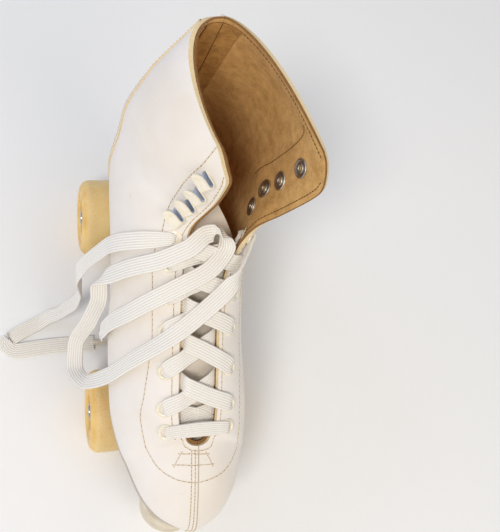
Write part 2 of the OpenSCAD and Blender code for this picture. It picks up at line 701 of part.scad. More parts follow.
// Lead from the lowest eyelet's barrel under the throat to the next eyelet's barrel
function lace_lead(side) =
    let (a = eyelet_row(0), b = eyelet_row(1), other = -side)
    [
        lace_at(side, a, eyelet_t(side, a), -wall_t / 2, eyelet_half_w),
        lace_at(side, a, eyelet_t(side, a), lace_under, eyelet_half_w),
        [throat_middle((a + b) / 2, lace_under), skin_along(side, (a + b) / 2, 1), lace_w / 2],
        lace_at(other, b, eyelet_t(other, b), lace_under, eyelet_half_w),
        lace_at(other, b, eyelet_t(other, b), -wall_t / 2, eyelet_half_w)
    ];
function lace_finish(side) =
    let (s = eyelet_rows[1], t = eyelet_t(side, s))
    [lace_at(side, s, t, lace_over, eyelet_half_w)];

// Straight bar over the lowest pair of eyelets
function lace_bar() =
    let (s = eyelet_rows[0], ta = eyelet_t(LATERAL, s), tb = eyelet_t(MEDIAL, s))
    [
        lace_at(LATERAL, s, ta, lace_over, eyelet_half_w),
        [throat_middle(s, lace_over), skin_along(LATERAL, s, 1), bar_half_w],
        lace_at(MEDIAL, s, tb, lace_over, eyelet_half_w)
    ];
crossing_rise = 0.6;
crossing_low = -lace_t;
crossing_high = lace_t * crossing_rise;

module lacing_lateral() {
    color(LACE) ribbon(concat(lace_lead(LATERAL), lace_half(MEDIAL, [crossing_high, crossing_low]),
        lace_finish(LATERAL)));
}
module lacing_medial() {
    color(LACE) ribbon(concat(lace_bar(), lace_lead(MEDIAL),
        lace_half(LATERAL, [crossing_low, crossing_high]), lace_finish(MEDIAL)));
}
module lace_end_lateral() {
    color(LACE) ribbon(full_width(smooth_route(lateral_end_route, route_steps)));
}
module lace_end_medial() {
    color(LACE) ribbon(full_width(smooth_route(medial_end_route, route_steps)));
}

// Round tips that close the two lace ends
module lace_tip(route) {
    last = len(route) - 1;
    end = route[last][0];
    along = unit(end - route[last - 1][0]);
    wide = unit(route[last][1] - along * (route[last][1] * along));
    n = cross(along, wide);
    multmatrix([[wide[0], -n[0], along[0], end[0]], [wide[1], -n[1], along[1], end[1]],
        [wide[2], -n[2], along[2], end[2]]]) cylinder(d = tip_d, h = tip_l);
}
module lace_tips() {
    color(LACE) {
        lace_tip(lateral_end_route);
        lace_tip(medial_end_route);
    }
}

// Frame of one truck
module truck_frame(end) {
    translate([0, axle_y(end) - end * kingpin_in, ring_z])
        rotate([0, 0, end == FRONT ? 180 : 0]) rotate([steer_tilt, 0, 0]) children();
}
module along_steering(y) { translate([0, y, 0]) rotate([-90, 0, 0]) children(); }
module below_deck() {
    intersection() {
        children();
        translate([-far, -far, 0]) cube([2 * far, 2 * far, deck_h - deck_t / 2]);
    }
}

// Flat pad with round corners
module pad_shape(y, w) {
    r = pad_corner_r;
    half = w / 2;
    translate([-half, y[0] + r]) square([w, y[1] - y[0] - 2 * r]);
    translate([-half + r, y[0]]) square([w - 2 * r, y[1] - y[0]]);
    for (x = [-half + r, half - r], cy = [y[0] + r, y[1] - r]) translate([x, cy]) circle(r);
}

module plate() {
    color(ALUMINIUM) difference() {
        union() {
            translate([0, 0, deck_low]) linear_extrude(deck_t) {
                pad_shape(front_pad_y, front_pad_w);
                pad_shape(rear_pad_y, rear_pad_w);
                translate([-bar_w / 2, front_pad_y[1] - pad_corner_r])
                    square([bar_w, rear_pad_y[0] - front_pad_y[1] + 2 * pad_corner_r]);
            }
            translate([-bar_rib_w / 2, bar_rib_y[0], deck_low - bar_rib_h])
                cube([bar_rib_w, bar_rib_y[1] - bar_rib_y[0], bar_rib_h + sink]);
            for (end = [FRONT, REAR]) below_deck() truck_frame(end) {
                translate([0, 0, stack_top]) cylinder(r = washer_r, h = far);
                translate([-cup_r - boss_wall, pivot_y - cup_lip, -cup_r - boss_wall])
                    cube([2 * (cup_r + boss_wall), cup_lip + cup_back + boss_wall, far]);
            }
            below_deck() stop_frame() translate([0, 0, stop_boss_low]) cylinder(r = stop_boss_r, h = far);
        }
        for (end = [FRONT, REAR]) truck_frame(end) {
            translate([0, 0, stack_top - cut])
                cylinder(r = kingpin_r + thread_gap, h = kingpin_high - stack_top + cut + kingpin_room);
            along_steering(pivot_y - cup_lip - cut)
                cylinder(r = cup_r + press_gap, h = cup_lip + cup_back + cut);
        }
        stop_frame() translate([0, 0, stop_boss_low - cut]) cylinder(r = stem_d / 2 + thread_gap, h = far);
        at_front_bolts() cylinder(r = bolt_r + bolt_clear, h = far);
        at_rear_bolts() cylinder(r = bolt_r + bolt_clear, h = far);
    }
}

// Bolts through the plate and the outsole, and the nuts that hold them inside the boot
module bolt(top) {
    translate([0, 0, deck_low - bolt_head_h]) cylinder(r = bolt_head_r, h = bolt_head_h);
    translate([0, 0, deck_low - sink]) cylinder(r = bolt_r, h = top - deck_low + sink);
}
module mounting_bolts() { color(STEEL) at_front_bolts() bolt(sole_top + tee_nut_t); }
module heel_screws() { color(STEEL) at_rear_bolts() bolt(deck_h + heel_screw_l); }
module tee_nuts() {
    bore = bolt_d + 2 * thread_gap;
    color(STEEL) at_front_bolts() tube(bore, 2 * tee_nut_r, sole_top, sole_top + tee_nut_t);
}

module kingpin(end) {
    color(STEEL) truck_frame(end) translate([0, 0, -kingpin_low])
        cylinder(r = kingpin_r, h = kingpin_low + kingpin_high);
}
module front_kingpin() { kingpin(FRONT); }
module rear_kingpin() { kingpin(REAR); }

module kingpin_nuts() {
    color(STEEL) for (end = [FRONT, REAR]) truck_frame(end)
        translate([0, 0, -stack_top - kingpin_nut_h]) difference() {
            cylinder(r = kingpin_nut_r, h = kingpin_nut_h, $fn = 6);
            translate([0, 0, -cut]) cylinder(r = kingpin_r + thread_gap, h = kingpin_nut_h + 2 * cut);
        }
}
module cushion_washers() {
    bore = kingpin_d + 2 * thread_gap;
    color(STEEL) for (end = [FRONT, REAR]) truck_frame(end) {
        tube(bore, 2 * washer_r, stack_top - washer_t, stack_top);
        tube(bore, 2 * washer_r, -stack_top, -stack_top + washer_t);
    }
}

// Rubber cushion with rounded rims, from a height up its kingpin
module cushion(end, low) {
    r = cushion_d / 2;
    rim = cushion_rim;
    bore_r = kingpin_r + cushion_play;
    color(CUSHION_RUBBER) truck_frame(end) translate([0, 0, low]) rotate_extrude() difference() {
        union() {
            square([r - rim, cushion_h]);
            translate([0, rim]) square([r, cushion_h - 2 * rim]);
            for (z = [rim, cushion_h - rim]) translate([r - rim, z]) circle(rim);
        }
        translate([0, -cut]) square([bore_r, cushion_h + 2 * cut]);
    }
}
module front_upper_cushion() { cushion(FRONT, ring_t / 2); }
module front_lower_cushion() { cushion(FRONT, -ring_t / 2 - cushion_h); }
module rear_upper_cushion() { cushion(REAR, ring_t / 2); }
module rear_lower_cushion() { cushion(REAR, -ring_t / 2 - cushion_h); }

module pivot_cups() {
    color(ACETAL) for (end = [FRONT, REAR]) truck_frame(end) difference() {
        along_steering(pivot_y - cup_lip) cylinder(r = cup_r, h = cup_lip + cup_back);
        translate([0, pivot_y, 0]) sphere(ball_r + run_gap);
        along_steering(pivot_y - cup_lip - cut) cylinder(r = ball_r + run_gap, h = cup_lip + cut);
    }
}

// Hanger: ring round the kingpin, beam for the axle, and a stem with the pivot ball
module hanger(end) {
    half_t = ring_t / 2;
    stem_y = pivot_y - 2 * ball_r;
    web_y = ring_r - ring_land;
    color(ALUMINIUM) truck_frame(end) difference() {
        union() {
            cylinder(r = ring_r, h = ring_t, center = true);
            rotate([90, 0, 90]) linear_extrude(web_w, center = true) polygon([
                [web_y, half_t - web_set], [stem_y, stem_pin_r - web_set], [stem_y, web_set - stem_pin_r],
                [beam_y + beam_r - web_set, beam_z], [beam_y - beam_r + web_set, beam_z],
                [ring_r - sink, web_set - half_t], [web_y, web_set - half_t]]);
            along_steering(stem_y - cut) cylinder(r = stem_pin_r, h = 2 * ball_r + cut);
            translate([0, pivot_y, 0]) sphere(ball_r);
            translate([0, beam_y, beam_z]) rotate([0, 90, 0]) {
                cylinder(r = beam_r, h = 2 * beam_half, center = true);
                cylinder(r = race_r - race_gap, h = 2 * race_in_x, center = true);
            }
        }
        cylinder(r = ring_hole_r, h = 4 * ring_t, center = true);
        translate([0, beam_y, beam_z]) rotate([0, 90, 0])
            cylinder(r = axle_r + press_gap, h = far, center = true);
    }
}
module front_hanger() { hanger(FRONT); }
module rear_hanger() { hanger(REAR); }

module axle(end) {
    color(STEEL) translate([0, axle_y(end), axle_z]) rotate([0, 90, 0])
        cylinder(r = axle_r, h = 2 * axle_half, center = true);
}
module front_axle() { axle(FRONT); }
module rear_axle() { axle(REAR); }

// Frame of one wheel: origin on the axle in the middle plane, local +Z outwards
module wheel_frame(end, side) {
    translate([0, axle_y(end), axle_z]) rotate([0, side * 90, 0]) children();
}
module both_sides(end) {
    for (side = [LATERAL, MEDIAL]) wheel_frame(end, side) children();
}

module axle_nuts(end) {
    color(STEEL) both_sides(end) {
        tube(axle_d + 2 * thread_gap, 2 * (race_r - race_gap), race_out_x, race_out_x + speed_washer_t);
        translate([0, 0, race_out_x + speed_washer_t]) difference() {
            cylinder(d = axle_nut_af / cos(30), h = axle_nut_h, $fn = 6);
            translate([0, 0, -cut]) cylinder(r = axle_r + thread_gap, h = axle_nut_h + 2 * cut);
        }
    }
}
module front_axle_nuts() { axle_nuts(FRONT); }
module rear_axle_nuts() { axle_nuts(REAR); }

module inner_races(end) {
    color(STEEL) both_sides(end) for (x = [race_in_x, race_out_x - bearing_w])
        tube(axle_d + 2 * press_gap, 2 * race_r, x, x + bearing_w);
}
module front_inner_races() { inner_races(FRONT); }
module rear_inner_races() { inner_races(REAR); }

module bearing_spacers(end) {
    color(STEEL) both_sides(end)
        tube(axle_d + 2 * thread_gap, 2 * (race_r - race_gap), race_in_x + bearing_w, race_out_x - bearing_w);
}
module front_bearing_spacers() { bearing_spacers(FRONT); }
module rear_bearing_spacers() { bearing_spacers(REAR); }

// Shielded outer races of one wheel
module bearings(end, side) {
    color(STEEL) wheel_frame(end, side) for (x = [race_in_x, race_out_x - bearing_w])
        tube(2 * (race_r + race_gap), bearing_od, x, x + bearing_w);
}
module front_lateral_bearings() { bearings(FRONT, LATERAL); }
module front_medial_bearings() { bearings(FRONT, MEDIAL); }
module rear_lateral_bearings() { bearings(REAR, LATERAL); }
module rear_medial_bearings() { bearings(REAR, MEDIAL); }

// Cast wheel with a round-edged tread, two bearing seats and a rib between them
module wheel(end, side) {
    seat_r = bearing_od / 2 + press_gap;
    mouth_r = bearing_od / 2 + mouth_step;
    rib_r = bearing_od / 2 - rib_step;
    e = tread_edge_r;
    color(AMBER) wheel_frame(end, side) rotate_extrude($fn = fine_fn) difference() {
        translate([0, wheel_in_x]) {
            square([wheel_r - e, wheel_w]);
            translate([0, e]) square([wheel_r, wheel_w - 2 * e]);
            for (z = [e, wheel_w - e]) translate([wheel_r - e, z]) circle(e);
        }
        translate([0, wheel_in_x - cut]) square([rib_r, wheel_w + 2 * cut]);
        translate([0, wheel_in_x - cut]) square([mouth_r, race_in_x - wheel_in_x + cut]);
        translate([0, race_in_x - cut]) square([seat_r, bearing_w + cut]);
        translate([0, race_out_x - bearing_w]) square([seat_r, bearing_w + cut]);
        translate([0, race_out_x]) square([mouth_r, hub_recess + cut]);
    }
}
module front_lateral_wheel() { wheel(FRONT, LATERAL); }
module front_medial_wheel() { wheel(FRONT, MEDIAL); }
module rear_lateral_wheel() { wheel(REAR, LATERAL); }
module rear_medial_wheel() { wheel(REAR, MEDIAL); }

// Frame of the toe stop
module stop_frame() { translate([0, stop_y, stop_floor]) rotate([-stop_tilt, 0, 0]) children(); }

module toe_stop_pad() {
    r = stop_d / 2;
    e = stop_edge_r;
    color(CREAM_RUBBER) stop_frame() difference() {
        rotate_extrude($fn = fine_fn) {
            square([r - e, stop_h]);
            translate([0, e]) square([r, stop_h - e]);
            translate([r - e, e]) circle(e);
        }
        translate([0, 0, stem_foot - press_gap]) cylinder(r = stem_d / 2 + press_gap, h = stop_h);
        translate([0, 0, stop_h - flange_t]) cylinder(r = flange_r + press_gap, h = stop_h);
    }
}
module toe_stop_stem() {
    color(STEEL) stop_frame() {
        translate([0, 0, stem_foot]) cylinder(d = stem_d, h = stem_top - stem_foot);
        translate([0, 0, stop_h - flange_t]) cylinder(r = flange_r, h = flange_t);
    }
}
module toe_stop_lock_nut() {
    color(STEEL) stop_frame() translate([0, 0, lock_nut_low]) difference() {
        cylinder(r = lock_nut_r, h = lock_nut_h, $fn = 6);
        translate([0, 0, -cut]) cylinder(d = stem_d + 2 * thread_gap, h = lock_nut_h + 2 * cut);
    }
}

quarter_lateral();
quarter_medial();
lining_lateral();
lining_medial();
tongue();
insole();
outsole();
heel_block();
eyelets();
lace_hooks();
hook_rivets();
lacing_lateral();
lacing_medial();
lace_end_lateral();
lace_end_medial();
lace_tips();
plate();
mounting_bolts();
tee_nuts();
heel_screws();
front_kingpin();
rear_kingpin();
kingpin_nuts();
cushion_washers();
front_upper_cushion();
front_lower_cushion();
rear_upper_cushion();
rear_lower_cushion();
pivot_cups();
front_hanger();
rear_hanger();
front_axle();
rear_axle();
front_axle_nuts();
rear_axle_nuts();
front_inner_races();
rear_inner_races();
front_bearing_spacers();
rear_bearing_spacers();
front_lateral_wheel();
front_medial_wheel();
rear_lateral_wheel();
rear_medial_wheel();
front_lateral_bearings();
front_medial_bearings();
rear_lateral_bearings();
rear_medial_bearings();
toe_stop_pad();
toe_stop_stem();
toe_stop_lock_nut();
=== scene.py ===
"""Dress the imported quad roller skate: laced leather boot, running gear, toe stop, studio and camera."""
import json
import logging
import math
from dataclasses import dataclass, field
from enum import Enum
from typing import Any

import bmesh
import bpy
import numpy as np
from mathutils import Matrix

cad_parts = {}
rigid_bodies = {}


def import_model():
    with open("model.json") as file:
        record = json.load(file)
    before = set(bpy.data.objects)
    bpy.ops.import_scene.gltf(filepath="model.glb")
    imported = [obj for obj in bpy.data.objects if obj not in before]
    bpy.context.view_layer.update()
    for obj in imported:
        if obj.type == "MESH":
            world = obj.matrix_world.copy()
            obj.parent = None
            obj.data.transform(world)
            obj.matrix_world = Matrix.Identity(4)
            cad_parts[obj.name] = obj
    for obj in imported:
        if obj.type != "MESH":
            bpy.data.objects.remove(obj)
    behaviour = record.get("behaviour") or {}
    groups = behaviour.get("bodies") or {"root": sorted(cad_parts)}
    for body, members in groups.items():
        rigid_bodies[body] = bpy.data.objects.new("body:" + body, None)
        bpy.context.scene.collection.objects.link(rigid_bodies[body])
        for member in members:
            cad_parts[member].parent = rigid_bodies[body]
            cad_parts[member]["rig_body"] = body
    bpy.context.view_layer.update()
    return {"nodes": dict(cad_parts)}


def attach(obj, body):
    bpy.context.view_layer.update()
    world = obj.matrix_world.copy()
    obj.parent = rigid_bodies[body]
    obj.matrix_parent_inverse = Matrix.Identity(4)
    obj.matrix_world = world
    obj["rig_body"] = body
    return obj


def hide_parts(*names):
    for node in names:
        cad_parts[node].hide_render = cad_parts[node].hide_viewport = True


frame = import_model()

LOG = logging.getLogger("roller_skate")
MM = 0.001
ROOT = "boot_and_plate"
# A turned section keeps this far off its axis, in millimetres
AXIS_R = 0.02

Points = np.ndarray
Faces = list[tuple[int, ...]]
Mesh = tuple[Points, Faces]
Line = tuple[Points, Points]
Pair = tuple[float, float]
Triple = tuple[float, float, float]
Values = tuple[float, ...]
Knots = tuple[Pair, ...]
Piece = bpy.types.Object
Material = bpy.types.Material
NodeTree = bpy.types.NodeTree


class Side(Enum):
    """The two sides of the boot, valued by the sign of X."""

    LATERAL = -1
    MEDIAL = 1

    @property
    def other(self) -> "Side":
        """The opposite side."""
        return Side(-self.value)


class End(Enum):
    """The two ends of the skate, valued by the sign of Y."""

    FRONT = -1
    REAR = 1


# Each axle's place along the skate, in millimetres
AXLE_Y = {End.FRONT: -49.0, End.REAR: 98.0}


class Slot(Enum):
    """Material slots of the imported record."""

    LEATHER = "white_leather"
    SUEDE = "brown_suede"
    SOLE = "sole_leather"
    HEEL = "heel_leather"
    ENAMEL = "enamelled_steel"
    NICKEL = "nickel"
    LACE = "cotton_lace"
    STEEL = "plated_steel"
    CUSHION = "cushion_rubber"
    URETHANE = "amber_urethane"
    STOP = "cream_rubber"


# Boot last, in millimetres: rows of end, two handles, end, as outward, along, above the feather line
LATERAL_ROWS = np.array((
    ((-2, -135, 0), (-2, -138, 9), (-2, -136, 18), (-2, -129, 23)),
    ((14, -128, 0), (17, -130, 12), (10, -126, 26), (-2, -116, 31)),
    ((27, -113, 0), (32, -115, 16), (19, -110, 34), (-2, -101, 38.5)),
    ((36, -90, 0), (43, -91, 20), (25, -87, 43), (-2, -84, 45.5)),
    ((39, -82, 0), (47, -84, 21), (27, -81, 45.3), (8, -80, 47.3)),
    ((44, -52, 0), (54, -55, 24), (32, -62, 53), (10, -62, 55.5)),
    ((42, -6, 0), (56, -14, 28), (37, -24, 68), (10, -26, 74)),
    ((36, 44, 0), (57, 26, 30), (42, 4, 80), (10, 3, 85)),
    ((32, 96, 0), (58, 76, 32), (48, 34, 88), (8, 25, 93)),
    ((19, 128, 0), (58, 112, 36), (56, 46, 96), (4, 31, 103)),
    ((0, 135, 0), (58, 135, 46), (58, 54, 106), (0, 33, 111)),
    ((-1, 134, 54), (58, 134, 82), (58, 58, 122), (-3, 34, 126)),
    ((-2, 130, 106), (49, 131, 124), (48, 60, 141), (-4, 36, 144)),
    ((-3, 127, 162), (26, 129, 160), (17, 76, 156), (-1, 43, 154)),
), float)
MEDIAL_ROWS = np.array((
    ((2, -135, 0), (2, -138, 9), (2, -136, 18), (2, -129, 23)),
    ((18, -128, 0), (21, -130, 12), (14, -126, 26), (2, -116, 31)),
    ((29, -113, 0), (33, -115, 16), (23, -110, 34), (2, -101, 38.5)),
    ((36, -90, 0), (41, -91, 20), (27.5, -87, 43), (2, -84, 45.5)),
    ((38, -82, 0), (43, -84, 21), (28.5, -81, 45.3), (11, -80, 47.3)),
    ((41, -52, 0), (46, -55, 24), (32, -62, 53), (13, -62, 55.5)),
    ((37, -6, 0), (44, -14, 28), (35, -24, 68), (13, -26, 74)),
    ((31, 44, 0), (42, 26, 30), (37, 4, 80), (15, 3, 84)),
    ((29, 96, 0), (42, 76, 30), (42, 36, 88), (25, 22, 90)),
    ((19, 128, 0), (46, 112, 34), (46, 54, 96), (34, 30, 98)),
    ((0, 135, 0), (45, 135, 44), (49, 68, 106), (42, 33, 109)),
    ((1, 134, 54), (42, 134, 80), (48, 80, 122), (46.5, 35, 127)),
    ((2, 130, 106), (34, 131, 122), (46.5, 86, 142), (51, 38, 145)),
    ((3, 127, 162), (13, 126, 160), (37, 92, 157), (53, 48, 155)),
), float)
TONGUE_ROWS = np.array((
    ((-17, -88, 31), (-8, -88, 37), (10, -88, 37), (20, -88, 31)),
    ((-23, -60, 41), (-10, -60, 50), (13, -60, 50), (26, -60, 41)),
    ((-23, -24, 58), (-10, -25, 67), (13, -25, 67), (27, -24, 58)),
    ((-24, 8, 68), (-10, 5, 77), (14, 5, 77), (28, 9, 67)),
    ((-24, 42, 76), (-12, 35, 84), (8, 33, 86), (24, 37, 82)),
    ((-26, 66, 104), (-18, 57, 107), (-4, 47, 109), (15, 45, 109)),
    ((-24, 72, 126), (-17, 62, 128), (-8, 52, 129), (5, 49, 128)),
    ((-14, 88, 146), (-11, 77, 149), (-7, 67, 149), (-1, 59, 146)),
), float)

# Free lace ends, in millimetres: places and width directions
LATERAL_END = np.array((
    (-35, 30, 175, 0, 1, 0.4), (-46, 34, 159, 0, 1, 0.3),
    (-51, 37, 140, 0, 1, 0.2), (-59, 36, 118, 0, 1, 0), (-65, 30, 104, 0, 1, 0.3),
    (-61, 27, 80, 0, 0.8, 0.6), (-62, 26, 54, 0, 0.9, 0.4), (-68, 27, 28, 0, 1, 0.3),
    (-76, 27, 8, 0.1, 1, 0), (-88, 22, 2.4, 0.2, 1, 0), (-100, 16, 2.2, 0.4, 1, 0),
    (-109, 9, 2.4, 1, 0.3, 0), (-102, 3, 2, 0, 1, 0), (-84, 5, 2, 0, 1, 0),
    (-62, 6, 2, 0, 1, 0), (-46, 6, 2, 0, 1, 0),
), float)
MEDIAL_END = np.array((
    (20, 3, 177, 0.5, 1, 0.5),
    (3, -12, 167, 0.5, 1, 0.5), (-17, -25, 156, 0.4, 1, 0.4), (-37, -33, 133, 0.2, 1, 0.2),
    (-50, -37, 104, 0.1, 1, 0), (-59, -35, 76, 0.4, 0.8, -0.2), (-65, -21, 57, 1, -0.2, 0.2),
    (-64, -6, 63, 1, -0.4, 0.3), (-57, 3, 88, 0.9, -0.5, 0.2), (-53, 11, 114, 0.8, -0.3, 0.1),
    (-54, 19, 130, 0.7, 0.5, 0.1), (-47, 18, 148, 0, 1, 0.2), (-38, 17, 164, 0, 1, 0.3),
    (-26, 16, 177, 0, 1, 0.4), (-10, 19, 190, 0.2, 1, 0.3), (2, 27, 194, 0.6, 0.8, 0.2),
    (12, 28, 192, 0.6, -0.8, 0), (15, 22, 186, 0.5, -0.8, -0.2), (6, 10, 181, 0.6, -0.8, -0.3),
    (-11, 2, 175, 0.4, -1, -0.3), (-29, -4, 162, 0.2, -1, -0.2), (-42, -7, 142, 0.1, -1, -0.1),
    (-49, -7, 118, 0, -1, 0), (-50, -6, 98, 0, -1, 0), (-49, -5, 84, 0, -1, 0),
), float)


# Small helpers

def per_side(lateral: Any, medial: Any) -> Any:
    """Field of a sub-assembly with one value for each side."""
    return field(default_factory=lambda: {Side.LATERAL: lateral, Side.MEDIAL: medial})


def unit(v: Points) -> Points:
    """Scale vectors along the last axis to length one."""
    return v / np.maximum(np.linalg.norm(v, axis=-1, keepdims=True), 1e-12)


def smooth_step(u: Points) -> Points:
    """Ease from 0 to 1."""
    u = np.clip(u, 0, 1)
    return u * u * (3 - 2 * u)


def joint_slope(a: Points, b: Points) -> Points:
    """Slope between two steps that never overshoots."""
    total = np.where(a * b > 0, a + b, 1)
    return np.where(a * b > 0, 2 * a * b / total, 0)


def between(a: Points, b: Points, c: Points, d: Points, f: Points) -> Points:
    """Give the smooth value between b and c.

    Args:
        a: The neighbour before b.
        b: The value at f = 0.
        c: The value at f = 1.
        d: The neighbour after c.
        f: The share of the way from b to c.

    Returns:
        The value, without overshoot.
    """
    m0, m1 = joint_slope(b - a, c - b), joint_slope(c - b, d - c)
    g, h = f * f, f ** 3
    return b * (2 * h - 3 * g + 1) + m0 * (h - 2 * g + f) + c * (3 * g - 2 * h) + m1 * (h - g)


def smooth_rows(table: Points, steps: int) -> Points:
    """Refine a table of places with smooth steps between its rows.

    Args:
        table: One row of numbers for each place.
        steps: The steps between two places.

    Returns:
        The finer table, which holds the old rows.
    """
    last = len(table) - 1
    fine = np.arange(last * steps + 1) / steps
    i = np.minimum(fine.astype(int), last - 1)
    f = (fine - i)[:, None]
    return between(table[np.maximum(i - 1, 0)], table[i], table[i + 1], table[np.minimum(i + 2, last)], f)


def distances(line: Points) -> Points:
    """Distance along a line at each of its points."""
    return np.concatenate(([0], np.cumsum(np.linalg.norm(np.diff(line, axis=0), axis=1))))


def even_steps(points: Points, step: float) -> Points:
    """Walk along a line of points in even steps.

    Args:
        points: The line.
        step: The wanted step.

    Returns:
        Fractional indices into the line, at even distances.
    """
    length = distances(points)
    count = max(int(round(length[-1] / step)), 2)
    return np.interp(np.linspace(0, length[-1], count + 1), length, np.arange(len(points)))


def pick(table: Points, index: Points) -> Points:
    """Read a table at fractional indices."""
    return np.stack([np.interp(index, np.arange(len(table)), column) for column in table.T], axis=1)


def linear(code: str) -> tuple[float, float, float, float]:
    """Linear red, green, blue and alpha of an sRGB hex value, "#RRGGBB"."""
    values = [int(code[i:i + 2], 16) / 255 for i in (1, 3, 5)]
    return (*(c / 12.92 if c <= 0.04045 else ((c + 0.055) / 1.055) ** 2.4 for c in values), 1.0)


def scale_for(size_mm: float) -> float:
    """Texture scale at which one feature measures the given millimetres."""
    return 1 / (size_mm * MM)


# Meshes

def grid_faces(rows: int, columns: int, start: int = 0, ring: bool = False) -> Faces:
    """Make the quads of a grid of points.

    Args:
        rows: The rows of points.
        columns: The points in a row.
        start: The index of the first point.
        ring: Whether each row closes on itself.

    Returns:
        The quads.
    """
    wide = columns if ring else columns - 1
    return [
        (start + i * columns + j, start + i * columns + (j + 1) % columns,
         start + (i + 1) * columns + (j + 1) % columns, start + (i + 1) * columns + j)
        for i in range(rows - 1) for j in range(wide)
    ]


def shell(outer: Points, inner: Points) -> tuple[Points, Faces, list[int]]:
    """Close two grids of points into one thin solid.

    Args:
        outer: The outer grid, as rows, columns, place.
        inner: The inner grid, of the same shape.

    Returns:
        The points, the faces, and each face's kind: 0 outer, 1 inner, 2 rim.
    """
    rows, columns = outer.shape[:2]
    count = rows * columns
    top = grid_faces(rows, columns)
    below = [tuple(k + count for k in reversed(face)) for face in top]
    edge = [i * columns for i in range(rows)]
    edge += [(rows - 1) * columns + j for j in range(1, columns)]
    edge += [i * columns + columns - 1 for i in range(rows - 2, -1, -1)]
    edge += list(range(columns - 2, 0, -1))
    rim = [(a, b, b + count, a + count) for a, b in zip(edge, edge[1:] + edge[:1])]
    points = np.concatenate((outer.reshape(-1, 3), inner.reshape(-1, 3)))
    return points, top + below + rim, [0] * len(top) + [1] * len(below) + [2] * len(rim)


def ring_faces(rings: int, count: int) -> Faces:
    """Faces of a stack of rings of points, closed at both ends."""
    ends = [tuple(range(count - 1, -1, -1)), tuple(range((rings - 1) * count, rings * count))]
    return grid_faces(rings, count, ring=True) + ends


def lathe(profile: Points, turns: int) -> Mesh:
    """Turn a closed profile about the local Z axis.

    Args:
        profile: Radius and height of each corner, in order round the section.
        turns: The facets of a full turn.

    Returns:
        The points and the faces.
    """
    angle = np.arange(turns) * 2 * math.pi / turns
    count = len(profile)
    points = np.stack([
        np.outer(profile[:, 0], np.cos(angle)), np.outer(profile[:, 0], np.sin(angle)),
        np.repeat(profile[:, 1:2], turns, axis=1),
    ], axis=2).reshape(-1, 3)
    faces = grid_faces(count, turns, ring=True)
    last = (count - 1) * turns
    faces += [(last + j, last + (j + 1) % turns, (j + 1) % turns, j) for j in range(turns)]
    return points, faces


def arc(middle: Pair, radius: float, start: float, end: float, steps: int) -> list[Pair]:
    """Corners along an arc of a profile, between two angles in degrees."""
    angles = np.radians(np.linspace(start, end, steps + 1))
    return [(middle[0] + radius * math.cos(a), middle[1] + radius * math.sin(a)) for a in angles]


def tube(line: Points, radius: float, sides: int = 10) -> Mesh:
    """Make a round tube along a line, closed at both ends.

    Args:
        line: The line's points.
        radius: The tube's radius.
        sides: The facets round it.

    Returns:
        The points and the faces.
    """
    along = unit(np.gradient(line, axis=0))
    helper = np.where(np.abs(along[:, :1]) < 0.8, np.array([[1.0, 0, 0]]), np.array([[0, 1.0, 0]]))
    first = unit(np.cross(along, helper))
    second = np.cross(along, first)
    angle = np.arange(sides) * 2 * math.pi / sides
    spokes = first[:, None] * np.cos(angle)[:, None] + second[:, None] * np.sin(angle)[:, None]
    rings = line[:, None] + radius * spokes
    return rings.reshape(-1, 3), ring_faces(len(line), sides)


def frame_of(x: Points, y: Points, z: Points, place: Points) -> Points:
    """Make the 4 by 4 matrix of three axes and a place."""
    return np.vstack((np.column_stack((x, y, z, place)), (0, 0, 0, 1)))


def placed(points: Points, matrix: Points) -> Points:
    """Move points by a 4 by 4 matrix."""
    return points @ matrix[:3, :3].T + matrix[:3, 3]


def merged(parts: list[Mesh]) -> Mesh:
    """Join several meshes into one.

    Args:
        parts: Points and faces of each mesh.

    Returns:
        The points and the faces of all of them.
    """
    points, faces, start = [], [], 0
    for part_points, part_faces in parts:
        points.append(part_points)
        faces += [tuple(k + start for k in face) for face in part_faces]
        start += len(part_points)
    return np.concatenate(points), faces


def make_piece(name: str, points: Points, faces: Faces, finishes: list[Material],
               kinds: list[int] | None = None, crease: float = 45.0) -> Piece:
    """Make one Blender object from a mesh in millimetres.

    Args:
        name: The piece's name.
        points: Its points.
        faces: Its faces.
        finishes: Its materials.
        kinds: Each face's material number, or None for the first.
        crease: Edges sharper than this angle, in degrees, stay sharp.

    Returns:
        The object, linked to the scene.
    """
    mesh = bpy.data.meshes.new(name)
    mesh.from_pydata((points * MM).tolist(), [], faces)
    for finish in finishes:
        mesh.materials.append(finish)
    if kinds is not None:
        mesh.polygons.foreach_set("material_index", kinds)
    work = bmesh.new()
    work.from_mesh(mesh)
    bmesh.ops.recalc_face_normals(work, faces=work.faces)
    work.to_mesh(mesh)
    work.free()
    mesh.shade_smooth()
    mesh.set_sharp_from_angle(angle=math.radians(crease))
    piece = bpy.data.objects.new(name, mesh)
    bpy.context.scene.collection.objects.link(piece)
    return piece


def settle(piece: Piece, body: str, slot: Slot, *nodes: str) -> None:
    """Say what a piece stands for and which body it rides on.

    Args:
        piece: The piece, in its place.
        body: The body that carries it.
        slot: The record's material slot; not used.
        nodes: The nodes that it replaces.
    """
    if nodes:
        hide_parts(*nodes)
    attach(piece, body)
    LOG.info("%s rides on %s", piece.name, body)


def soften(piece: Piece, width_mm: float, segments: int = 2, weld: bool = False) -> None:
    """Round a piece's sharp edges.

    Args:
        piece: The piece.
        width_mm: The width of the rounding.
        segments: Its facets.
        weld: Whether split points are joined first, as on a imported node.
    """
    weld_mm, least_angle = 0.001, 40
    if weld:
        joined = piece.modifiers.new("joined_points", "WELD")
        joined.merge_threshold = weld_mm * MM
    bevel = piece.modifiers.new("rounded_edges", "BEVEL")
    bevel.width = width_mm * MM
    bevel.segments = segments
    bevel.limit_method = "ANGLE"
    bevel.angle_limit = math.radians(least_angle)
    bevel.harden_normals = True


